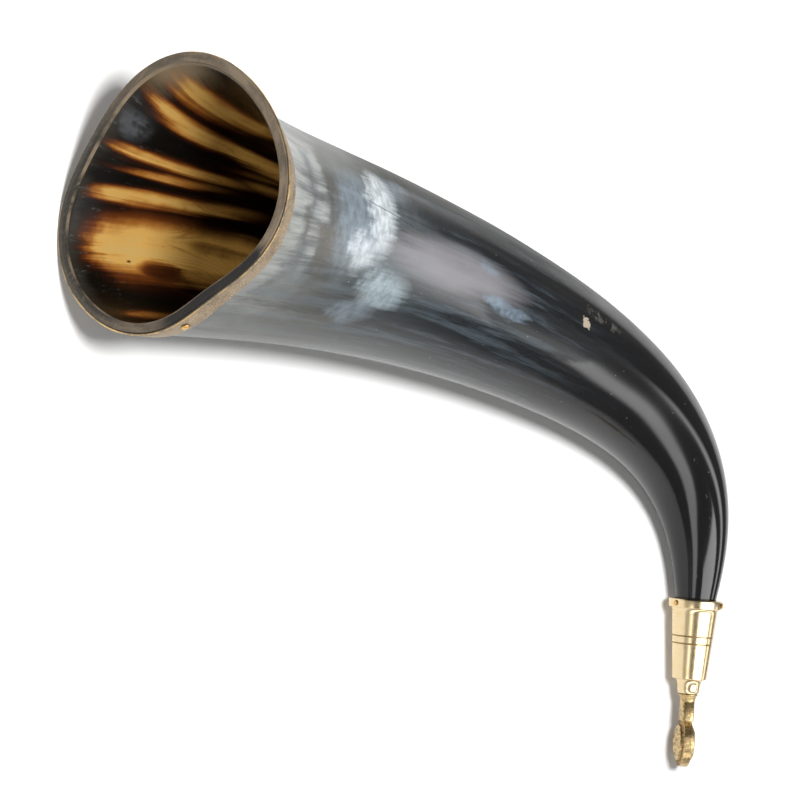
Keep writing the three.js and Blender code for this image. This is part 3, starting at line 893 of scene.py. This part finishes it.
def paint_turned(settings):
    """Polished brass with fine marks of the lathe."""
    paint = Paint(bpy.data.materials.new("Turned brass"))
    lay = paint.mark("lay")
    x, y, z = paint.parts(lay)
    lathe = paint.noise(paint.point(x * 0.06, y * 4, z * 0.06), roughness=0.7)
    fine = paint.noise(paint.point(x * 0.4, y * 11, z * 0.4), detail=2)
    stain = paint.noise(lay, 0.3, 4)
    groove = paint.mark("edge", "Fac")
    colour = paint.coats(
        settings.colour,
        (stain.rise(0.45, 0.7) * 0.3, tint(216, 182, 120)),
        (groove * 0.7, tint(120, 84, 36)))
    return paint.finish({"Base Color": colour, "Metallic": 1.0,
                         "Roughness": 0.24 + (fine - 0.5) * 0.2 + groove * 0.2,
                         "Normal": paint.bump(lathe * 0.7 + fine * 0.3, 0.012)})


def paint_cast(settings):
    """Cast brass: filed on the edge, duller in the relief."""
    paint = Paint(bpy.data.materials.new("Cast brass"))
    lay = paint.mark("lay")
    x, y, z = paint.parts(lay)
    filed = paint.mark("filed", "Fac")
    file_marks = paint.noise(paint.point(x * 0.5, (y + z * 0.4) * 2, z * 0.5), roughness=0.7)
    grain = paint.noise(lay, 2.2, 4, 0.6)
    pits = paint.noise(lay, 1.2)
    colour = paint.coats(
        settings.colour,
        (paint.mark("recess", "Fac") * 0.95, settings.recess_colour),
        (file_marks.rise(0.46, 0.62) * filed * 0.75, tint(126, 96, 52)),
        (grain.rise(0.52, 0.72) * 0.35, tint(238, 214, 166)),
        (pits.fall(0.38, 0.52) * (1 - filed) * 0.7, tint(104, 78, 40)))
    return paint.finish({"Base Color": colour, "Metallic": 1.0,
                         "Roughness": 0.34 + (grain - 0.5) * 0.25 - filed * 0.04,
                         "Normal": paint.bump(file_marks * filed * 0.7 + grain * (1 - filed * 0.7), 0.1)})


class HORN_OT_add_shell(bpy.types.Operator):
    """Add the natural horn: outside, sawn mouth, hollow and tenon in one skin"""
    bl_idname = "horn.add_shell"
    bl_label = "Horn"

    def execute(self, context):
        settings = context.scene.horn_settings
        form = HornForm(settings)
        angle = np.arange(ROUND_STEPS) * TAU / ROUND_STEPS
        inside, outside = form.inner(0, angle), form.outer(0, angle)
        rings, lays, rims, kinds = [], [], [], []

        def add_ring(distance, radius, kind):
            distance = np.broadcast_to(distance, angle.shape)
            rings.append(form.place(distance, angle, radius))
            lays.append(np.stack((radius * np.cos(angle), radius * np.sin(angle), distance), 1))
            rims.append(np.clip((radius - inside) / (outside - inside), 0, 1))
            kinds.append(kind)

        def add_rounded_edge(edge, side, bends):
            for bend in bends:
                radius = edge + side * RIM_ROUND * (1 - math.cos(bend))
                add_ring(RIM_ROUND * (1 - math.sin(bend)), radius, SAWN)

        for depth in form.bore_depth * crowded(INNER_STEPS, INNER_CROWDING)[-2:0:-1]:
            if depth > 2 * RIM_ROUND:
                add_ring(depth, form.inner(depth, angle), HOLLOW)
        bends = np.radians(np.linspace(0, 90, RIM_STEPS + 1))
        add_rounded_edge(inside, 1, bends)
        wave = waves(angle, SAW_WAVES)
        for share in np.linspace(0, 1, SAWN_STEPS + 1)[1:-1]:
            radius = inside + RIM_ROUND + (outside - inside - 2 * RIM_ROUND) * share
            add_ring(SAW_LIFT + wave * math.sin(math.pi * share), radius, SAWN)
        add_rounded_edge(outside, -1, bends[::-1])
        for distance in form.length * crowded(OUTER_STEPS, OUTER_CROWDING):
            if distance > 2 * RIM_ROUND:
                add_ring(distance, form.outer(distance, angle), OUTSIDE)
        end = form.length + TENON_LENGTH
        add_ring(end, np.full(ROUND_STEPS, TENON_END_RADIUS), OUTSIDE)
        bottom = form.place(form.bore_depth, 0.0, 0.0)
        points, faces = skin(rings, start=bottom, end=form.place(end, 0.0, 0.0))
        lays += [[(AXIS_OFFSET, 0, form.bore_depth)], [(AXIS_OFFSET, 0, end)]]
        bands = [SAWN if SAWN in pair else pair[0] for pair in zip(kinds, kinds[1:])]
        face_materials = np.repeat([*bands, HOLLOW, OUTSIDE], ROUND_STEPS)
        materials = [paint_outside(settings), paint_sawn(settings), paint_hollow(settings)]
        marks = {"lay": np.concatenate(lays), "rim": np.concatenate((*rims, [0, 1]))}
        piece = mesh_piece("horn", points, faces, materials, face_materials, marks)
        put_on(piece, "horn_shell")
        return {"FINISHED"}


class HORN_OT_add_rim_band(bpy.types.Operator):
    """Add the brass strip round the mouth, with its seam"""
    bl_idname = "horn.add_rim_band"
    bl_label = "Rim band"

    def execute(self, context):
        settings = context.scene.band_settings
        form = HornForm(context.scene.horn_settings)
        width, thick, front = (s / MM for s in (settings.width, settings.thickness, settings.setback))
        gap = SEAM_GAP / 2 / float(form.plain_outer(0, math.radians(SEAM_ANGLE)))
        start = math.radians(SEAM_ANGLE) + gap
        turns = np.linspace(start, start + TAU - 2 * gap, BAND_STEPS + 1)
        corner = thick * BAND_CORNER_SHARE
        outline = [*arc((width - corner, thick - corner), corner, 0, 90, EDGE_STEPS),
                   (width * 0.66, thick), (width * 0.33, thick),
                   *arc((corner, thick - corner), corner, 90, 180, EDGE_STEPS),
                   (0, corner), (corner, 0), (width * 0.5, 0), (width - corner, 0), (width, corner)]
        rings, edges, lays = [], [], []
        for turn, sway, dent in zip(turns, waves(turns, STRIP_SWAY), waves(turns, STRIP_DENTS)):
            ring = []
            for along, out in outline:
                distance = front + along * (1 + STRIP_STRETCH * sway) + STRIP_SHIFT * sway * (along / width)
                lift = BAND_FIT + out + (dent if out > corner else 0)
                radius = float(form.plain_outer(distance, turn)) + lift
                ring.append(form.place(distance, turn, radius))
                lays.append((radius * math.cos(turn), radius * math.sin(turn), distance))
                near = min(along, width - along)
                # edge: 1 along the cut edges of the outer face, where the sheet shader paints a highlight
                edges.append(max(0.0, 1 - near / BAND_BRIGHT_WIDTH) if out > 0 else 0.0)
            rings.append(np.array(ring))
        points, faces = closed_skin(rings)
        marks = {"lay": [*lays, lays[0], lays[-1]], "edge": [*edges, 1.0, 1.0]}
        piece = mesh_piece("mouth_strip", points, faces, [paint_sheet(settings)], None, marks)
        put_on(piece, "rim_band")
        return {"FINISHED"}


def nail(name, matrix, head_radius, head_height, shank_radius, shank_length, seed, material):
    """A round-headed nail in its own millimetres, placed by a matrix that includes the scale."""
    foot = head_radius * HEAD_FOOT_SHARE
    profile = [(shank_radius, -shank_length), (shank_radius, -NAIL_NECK), (foot, 0.0)]
    for bend in np.linspace(0, math.pi / 2, HEAD_STEPS + 1)[:-1]:
        rise = HEAD_BRIM_SHARE + (1 - HEAD_BRIM_SHARE) * math.sin(bend)
        profile.append((head_radius * math.cos(bend) ** HEAD_ROUND_POWER, head_height * rise))
    rings = turned_rings(profile, NAIL_STEPS)
    around = np.arange(NAIL_STEPS) * TAU / NAIL_STEPS
    uneven = 1 + waves(around, ((0.035, 3, seed), (0.02, 5, 2 * seed)))
    tilt = HEAD_TILT * head_height * np.sin(around + seed) / head_radius
    for ring, (radius, height) in zip(rings, profile):
        if height > 0:
            ring[:, 0] *= uneven
            ring[:, 2] *= uneven
            ring[:, 1] += tilt * radius
    points, faces = skin(rings, start=(0, -shank_length, 0), end=(0, head_height, 0))
    # edge: 1 at the rim of the head, where the nail shader paints shade round its foot
    edges = np.clip(np.hypot(points[:, 0], points[:, 2]) / head_radius, 0, 1) ** 4
    return mesh_piece(name, moved(points, matrix), faces, [material], None,
                      {"lay": points + 7 * seed, "edge": edges})


def facing(point, normal):
    """A matrix that takes the second axis to a normal at a point."""
    turn = Vector((0, 1, 0)).rotation_difference(Vector(normal)).to_matrix().to_4x4()
    return Matrix.Translation(Vector(point)) @ turn


class HORN_OT_add_rim_nails(bpy.types.Operator):
    """Add the round-headed nails through the rim band"""
    bl_idname = "horn.add_rim_nails"
    bl_label = "Rim nails"

    def execute(self, context):
        nails, band = context.scene.nail_settings, context.scene.band_settings
        form = HornForm(context.scene.horn_settings)
        lift = BAND_FIT + band.thickness / MM
        front, back = band.setback / MM, (band.setback + band.width) / MM
        middle = (front + back) / 2
        half = nails.head_radius / MM / form.mouth_radius
        material = paint_nails(nails)

        def on_band(distance, turn):
            return form.place(distance, turn, form.plain_outer(distance, turn) + lift)

        for i, degrees in enumerate(RIM_NAIL_ANGLES):
            turn = math.radians(degrees)
            around = on_band(middle, turn + half) - on_band(middle, turn - half)
            normal = np.cross(around, on_band(back, turn) - on_band(front, turn))
            normal = normal / np.linalg.norm(normal)
            point = on_band(middle, turn) + normal * NAIL_SEAT * MM
            matrix = facing(point, normal) @ Matrix.Scale(MM, 4)
            piece = nail(f"band_nail_{i + 1}", matrix, nails.head_radius / MM, nails.head_height / MM,
                         NAIL_SHANK_RADIUS, NAIL_SHANK_LENGTH, i + RIM_NAIL_SEED, material)
            put_on(piece, f"rim_nail_{i + 1}")
        return {"FINISHED"}


def ferrule_length(sizes):
    """Length of the ferrule from the collar's open end to the boss's end."""
    return COLLAR_HEIGHT + COLLAR_COVE + sizes.cone_length / MM + BOSS_COVE + BOSS_HEIGHT


def ferrule_profile(sizes, mouth):
    """The ferrule's closed profile from its open end, which has this radius, with turned edges broken."""
    collar, top, end = (r / MM for r in (sizes.collar_radius, sizes.cone_top_radius, sizes.cone_end_radius))
    length, boss = sizes.cone_length / MM, sizes.boss_radius / MM
    start = COLLAR_HEIGHT + COLLAR_COVE
    stop = start + length
    finish = ferrule_length(sizes)

    def cone(place):
        return top + (end - top) * place / length

    def edge(radius, height, size, first, last):
        return arc((radius - size, height - size), size, first, last, EDGE_STEPS)

    outside = [(mouth, 0), *arc((collar - COLLAR_EDGE, COLLAR_EDGE), COLLAR_EDGE, -90, 0, 5)]
    outside += [(collar, COLLAR_HEIGHT / 2), *edge(collar, COLLAR_HEIGHT, TURNED_EDGE, 0, 80)]
    outside += cove((top, start), (collar - COLLAR_EDGE, COLLAR_HEIGHT), COVE_STEPS)[::-1]
    places = []
    for groove in GROOVE_PLACES:
        for share in np.linspace(-1, 1, GROOVE_STEPS + 1):
            depth = GROOVE_DEPTH * max(0.0, math.cos(share * math.pi / 2)) ** GROOVE_POWER
            places.append((groove + share * GROOVE_WIDTH / 2, depth))
    places += [(p, 0.0) for p in np.linspace(0.5, length - 0.4, CONE_STEPS)
               if min(abs(p - g) for g in GROOVE_PLACES) > GROOVE_WIDTH]
    outside += [(cone(p) - depth, start + p) for p, depth in sorted(places)]
    outside += edge(end, stop, CONE_EDGE, 5, 75)
    outside += cove((boss, stop + BOSS_COVE), (end - COLLAR_EDGE, stop), COVE_STEPS)[::-1]
    outside += [(boss - 0.05, stop + BOSS_COVE + 1.0), (BOSS_END_RADIUS + 0.08, finish - 0.3)]
    outside += edge(BOSS_END_RADIUS, finish, TURNED_EDGE, 10, 90)
    bore = SPIGOT_RADIUS + SPIGOT_FIT
    socket = TENON_LENGTH + FERRULE_FIT
    return outside + [(bore, finish), (bore, socket), (TENON_END_RADIUS + FERRULE_FIT, socket)]


class HORN_OT_add_ferrule(bpy.types.Operator):
    """Add the turned ferrule with its collar, grooves and boss"""
    bl_idname = "horn.add_ferrule"
    bl_label = "Ferrule"

    def execute(self, context):
        sizes = context.scene.ferrule_settings
        form = HornForm(context.scene.horn_settings)
        profile = ferrule_profile(sizes, form.tip_radius + FERRULE_FIT)
        points, faces = skin(turned_rings(profile, TURNED_STEPS), wrap=True)
        top, end = sizes.cone_top_radius / MM, sizes.cone_end_radius / MM
        place = points[:, 1] - COLLAR_HEIGHT - COLLAR_COVE
        plain = top + (end - top) * place / (sizes.cone_length / MM)
        near = (place > min(GROOVE_PLACES) - GROOVE_REACH) & (place < max(GROOVE_PLACES) + GROOVE_REACH)
        depth = np.where(near, plain - np.hypot(points[:, 0], points[:, 2]), 0)
        marks = {"lay": points, "edge": np.clip(depth / GROOVE_DEPTH, 0, 1)}
        points = moved(points, form.tip_frame())
        piece = mesh_piece("tip_ferrule", points, faces, [paint_turned(sizes)], None, marks)
        piece.data.set_sharp_from_angle(angle=math.radians(SHARP_ANGLE))
        put_on(piece, "ferrule")
        return {"FINISHED"}


class HORN_OT_add_ferrule_nails(bpy.types.Operator):
    """Add the small pins through the ferrule's collar"""
    bl_idname = "horn.add_ferrule_nails"
    bl_label = "Ferrule pins"

    def execute(self, context):
        nails, sizes = context.scene.nail_settings, context.scene.ferrule_settings
        form = HornForm(context.scene.horn_settings)
        material = paint_nails(nails)
        tip = form.tip_frame()
        for i, degrees in enumerate(FERRULE_NAIL_ANGLES):
            angle = math.radians(degrees)
            normal = Vector((math.cos(angle), 0, math.sin(angle)))
            point = normal * (sizes.collar_radius / MM + NAIL_SEAT) + Vector((0, COLLAR_HEIGHT / 2, 0))
            matrix = tip @ facing(point, normal)
            piece = nail(f"collar_pin_{i + 1}", matrix, nails.pin_radius / MM, nails.pin_height / MM,
                         PIN_SHANK_RADIUS, PIN_SHANK_LENGTH, i + FERRULE_NAIL_SEED, material)
            put_on(piece, f"ferrule_nail_{i + 1}")
        return {"FINISHED"}


def relief(radius, angle, field):
    """Height of the medallion's face: a rosette and its button, cut into a low dome inside a beaded ring."""
    share = radius / field
    dome = MEDALLION_CROWN * np.sqrt(np.clip(1 - (share / DOME_SHARE) ** 2, 0, 1))
    petals = np.abs(np.cos(PETAL_PAIRS * angle)) ** 0.7 * np.clip((share - PETALS_START) / RELIEF_EASE, 0, 1)
    leaves = np.abs(np.sin(PETAL_PAIRS * angle)) ** 0.9 * np.clip((share - LEAVES_START) / RELIEF_EASE, 0, 1)
    button = np.sqrt(np.clip(1 - (share / BUTTON_SHARE) ** 2, 0, 1))
    raised = np.maximum(np.maximum(petals, 0.8 * leaves), button)
    beads = np.clip(np.cos(BEAD_COUNT * angle), 0, 1) ** 0.6
    beads = beads * np.clip(1 - ((share - BEAD_PLACE) / BEAD_REACH) ** 2, 0, 1)
    return np.where(share < RELIEF_END, dome - RELIEF_DEPTH * (1 - raised), 0.02 + BEAD_HEIGHT * beads)


def medallion(radius, edge):
    """Points and faces of the medallion about the third axis, with both its faces in relief."""
    angle = np.arange(DISC_STEPS) * TAU / DISC_STEPS
    flat = np.ones(DISC_STEPS)
    field = radius - MEDALLION_RIM * 0.6
    rows = [(field * share, relief(field * share * flat, angle, field))
            for share in np.linspace(0.02, 1, FACE_STEPS)]
    rows += [(field + 0.15, 0.16 * flat), (radius - 0.3, 0.14 * flat), (radius - 0.08, 0.06 * flat),
             (radius, -0.05 * flat)]
    rings = []
    for sign in (1, -1):
        rings += [np.stack((out * np.cos(angle), out * np.sin(angle), sign * (edge / 2 + height)), 1)
                  for out, height in rows[::sign]]
    return closed_skin(rings)


def shoulder():
    """Points and faces of the filed shoulder between the neck and the medallion."""
    angle = np.arange(STEM_STEPS) * TAU / STEM_STEPS
    rings = []
    for share in np.linspace(0, 1, SHOULDER_STEPS + 1):
        height = NECK_LENGTH - SHOULDER_OVERLAP
        height += share * (SHOULDER_HEIGHT + SHOULDER_OVERLAP + MEDALLION_RIM * 0.45)
        swell = math.sin(math.pi * min(share / SHOULDER_WIDEST, 1) * 0.5)
        half = NECK_END_RADIUS + (SHOULDER_WIDTH / 2 - NECK_END_RADIUS + SHOULDER_SWELL) * swell
        thick = NECK_END_RADIUS + (SHOULDER_THICKNESS / 2 - NECK_END_RADIUS) * swell
        power = 2 + 3 * swell
        x = half * np.sign(np.cos(angle)) * np.abs(np.cos(angle)) ** (2 / power)
        z = thick * np.sign(np.sin(angle)) * np.abs(np.sin(angle)) ** (2 / power)
        rings.append(np.stack((x, np.full(STEM_STEPS, height), z), 1))
    return closed_skin(rings)


def fused(parts):
    """Points and faces of one skin round parts that overlap, softened as a casting is."""
    points, faces = [], []
    for part_points, part_faces in parts:
        first = sum(len(p) for p in points)
        points.append(np.asarray(part_points, float))
        faces += [tuple(i + first for i in face) for face in part_faces]
    rough = mesh_piece("finial_rough", np.concatenate(points), faces, [])
    fuse = rough.modifiers.new("Fuse", "REMESH")
    fuse.mode = "VOXEL"
    fuse.voxel_size = FUSE_VOXEL
    soften = rough.modifiers.new("Soften", "SMOOTH")
    soften.iterations = SOFTEN_STEPS
    soften.factor = SOFTEN_SHARE
    cast = bpy.data.meshes.new_from_object(rough.evaluated_get(bpy.context.evaluated_depsgraph_get()))
    cast_points = np.empty(len(cast.vertices) * 3)
    cast.vertices.foreach_get("co", cast_points)
    cast_faces = [tuple(p.vertices) for p in cast.polygons]
    bpy.data.objects.remove(rough)
    bpy.data.meshes.remove(cast)
    return cast_points.reshape(-1, 3), cast_faces


class HORN_OT_add_finial(bpy.types.Operator):
    """Add the cast finial: neck, shoulder and medallion as one casting"""
    bl_idname = "horn.add_finial"
    bl_label = "Finial"

    def execute(self, context):
        sizes = context.scene.finial_settings
        form = HornForm(context.scene.horn_settings)
        radius, edge = sizes.medallion_radius / MM, sizes.medallion_edge / MM
        centre = NECK_LENGTH + SHOULDER_HEIGHT + radius
        stem = [(SPIGOT_RADIUS, -SPIGOT_LENGTH), (SPIGOT_RADIUS, 0), (NECK_TOP_RADIUS - TURNED_EDGE, 0),
                *arc((NECK_TOP_RADIUS - TURNED_EDGE, TURNED_EDGE), TURNED_EDGE, -60, 60, EDGE_STEPS)]
        stem += cove((NECK_END_RADIUS, NECK_LENGTH), (NECK_TOP_RADIUS, 2 * TURNED_EDGE), COVE_STEPS)[::-1]
        stem += [(NECK_END_RADIUS, NECK_LENGTH + SHOULDER_HEIGHT / 2)]
        disc, disc_faces = medallion(radius, edge)
        points, faces = fused([
            skin(turned_rings(stem, STEM_STEPS), start=(0, stem[0][1], 0), end=(0, stem[-1][1], 0)),
            shoulder(), (disc + np.array((0, centre, 0)), disc_faces)])
        out = np.hypot(points[:, 0], points[:, 1] - centre)
        above = np.abs(points[:, 2]) - edge / 2
        on_face = (above > FILED_MARGIN) & (out < radius - FACE_MARGIN)
        recess = np.where(on_face, np.clip(1 - above / RECESS_REACH, 0, 1), 0)
        filed = np.where(above < FILED_MARGIN, 1.0, 0.0)
        filed = np.where(points[:, 1] < NECK_LENGTH - NECK_MARGIN, NECK_FILED, filed)
        height = ferrule_length(context.scene.ferrule_settings) + FINIAL_SEAT
        matrix = form.tip_frame() @ Matrix.Translation((0, height, 0))
        matrix = matrix @ Matrix.Rotation(math.radians(FINIAL_TURN), 4, "Y")
        piece = mesh_piece("cast_finial", moved(points, matrix), faces, [paint_cast(sizes)], None,
                           {"lay": points, "recess": recess, "filed": filed})
        put_on(piece, "finial")
        return {"FINISHED"}


def paint_floor(colour):
    """A plain pale floor that keeps the object's shadow and looks white to the camera and in the brass."""
    paint = Paint(bpy.data.materials.new("Pale floor"))
    camera, glossy, through = paint.rays()
    grain = paint.noise(paint.node("ShaderNodeTexCoord", {}, {}, "Object"), FLOOR_GRAIN)
    matt = paint.mix(grain, colour, tuple(c * FLOOR_GRAIN_SHADE for c in colour))
    plain = paint.node("ShaderNodeBsdfDiffuse", {}, {"Color": matt})
    lift = paint.node("ShaderNodeEmission", {}, {"Strength": FLOOR_LIFT})
    lifted = paint.node("ShaderNodeAddShader", {}, {0: plain, 1: lift})
    seen = camera.over(glossy).over(through)
    surface = paint.node("ShaderNodeMixShader", {}, {0: seen, 1: plain, 2: lifted})
    paint.node("ShaderNodeOutputMaterial", {}, {"Surface": surface})
    return paint.holder


def paint_world(room):
    """A dim room with a narrow pale panel above the horizon; white where the camera looks past the floor."""
    paint = Paint(bpy.data.worlds.new("Studio"))
    x, y, z = paint.parts(paint.node("ShaderNodeTexCoord", {}, {}, "Generated"))
    camera, glossy, through = paint.rays()
    panel = z.rise(0.31, 0.39) * (z + x.rise(0.0, 1.0) * 0.1).fall(0.55, 0.61)
    panel = panel * y.fall(-0.16, -0.03) * x.rise(-0.92, -0.75)
    wall = x.fall(-0.9, -0.5) * z.rise(0.0, 0.02) * z.fall(0.62, 0.75)
    below = z.fall(*HORIZON)
    light = paint.coats(
        paint.mix(wall, room, WALL_LIGHT),
        (panel * (PANEL_MATT_SHARE + glossy * (1 - PANEL_MATT_SHARE)), PANEL_LIGHT),
        (below, GROUND_LIGHT),
        (camera.over(glossy.over(through) * below), WHITE))
    surface = paint.node("ShaderNodeBackground", {}, {"Color": light, "Strength": 1.0})
    paint.node("ShaderNodeOutputWorld", {}, {"Surface": surface})
    return paint.holder


def area_lamp(name, shape, size, power, place, unseen_by):
    """A lamp that the camera and one other kind of ray don't see."""
    light = bpy.data.lights.new(name, "AREA")
    light.shape = shape
    light.size, light.size_y = size
    light.energy = power
    lamp = bpy.data.objects.new(name, light)
    lamp.location = place
    lamp.visible_camera = False
    setattr(lamp, unseen_by, False)
    bpy.context.scene.collection.objects.link(lamp)
    return lamp


class HORN_OT_add_stage(bpy.types.Operator):
    """Add the floor, the light and the camera"""
    bl_idname = "horn.add_stage"
    bl_label = "Stage"

    def execute(self, context):
        scene = context.scene
        settings = scene.stage_settings
        scene.view_settings.view_transform = "Standard"
        half = FLOOR_SIZE / 2
        corners = [(x * half, y * half, -FLOOR_DROP) for x, y in ((-1, -1), (1, -1), (1, 1), (-1, 1))]
        floor = mesh_piece("floor", corners, [(0, 1, 2, 3)], [paint_floor(settings.floor_colour)])
        scene.world = paint_world(settings.room_colour)
        area_lamp("Soft box", "RECTANGLE", SOFT_BOX_SIZE, settings.soft_box_power, SOFT_BOX_PLACE,
                  "visible_diffuse")
        key = area_lamp("Key lamp", "DISK", KEY_SIZE, settings.key_power, KEY_PLACE, "visible_glossy")
        key.rotation_euler = (-key.location).to_track_quat("-Z", "Y").to_euler()
        lens = bpy.data.cameras.new("Photo view")
        lens.lens = CAMERA_LENS
        lens.sensor_width = CAMERA_SENSOR
        lens.clip_start = CAMERA_NEAR
        lens.clip_end = CAMERA_FAR
        camera = bpy.data.objects.new("Photo view", lens)
        camera.location = CAMERA_PLACE
        camera.rotation_euler = [math.radians(a) for a in CAMERA_TURN]
        scene.collection.objects.link(camera)
        scene.camera = camera
        return {"FINISHED"}


class HORN_PT_pieces(bpy.types.Panel):
    """The horn's pieces and their settings"""
    bl_label = "Drinking Horn"
    bl_space_type = "VIEW_3D"
    bl_region_type = "UI"
    bl_category = "Horn"

    def draw(self, context):
        for name, _, operators in GROUPS:
            box = self.layout.box()
            settings = getattr(context.scene, name)
            for setting in settings.__annotations__:
                box.prop(settings, setting)
            for operator in operators:
                box.operator(operator.bl_idname)


GROUPS = (
    ("horn_settings", HornSettings, (HORN_OT_add_shell,)),
    ("band_settings", BandSettings, (HORN_OT_add_rim_band,)),
    ("nail_settings", NailSettings, (HORN_OT_add_rim_nails, HORN_OT_add_ferrule_nails)),
    ("ferrule_settings", FerruleSettings, (HORN_OT_add_ferrule,)),
    ("finial_settings", FinialSettings, (HORN_OT_add_finial,)),
    ("stage_settings", StageSettings, (HORN_OT_add_stage,)),
)
CLASSES = (
    *(settings for _, settings, _ in GROUPS),
    *(operator for _, _, operators in GROUPS for operator in operators),
    HORN_PT_pieces,
)


def register():
    for cls in CLASSES:
        bpy.utils.register_class(cls)
    for name, settings, _ in GROUPS:
        setattr(bpy.types.Scene, name, PointerProperty(type=settings))


def unregister():
    for name, _, _ in GROUPS:
        delattr(bpy.types.Scene, name)
    for cls in reversed(CLASSES):
        bpy.utils.unregister_class(cls)


def main():
    register()
    bpy.ops.horn.add_shell()
    bpy.ops.horn.add_rim_band()
    bpy.ops.horn.add_rim_nails()
    bpy.ops.horn.add_ferrule()
    bpy.ops.horn.add_ferrule_nails()
    bpy.ops.horn.add_finial()
    bpy.ops.horn.add_stage()


if __name__ == "__main__":
    main()
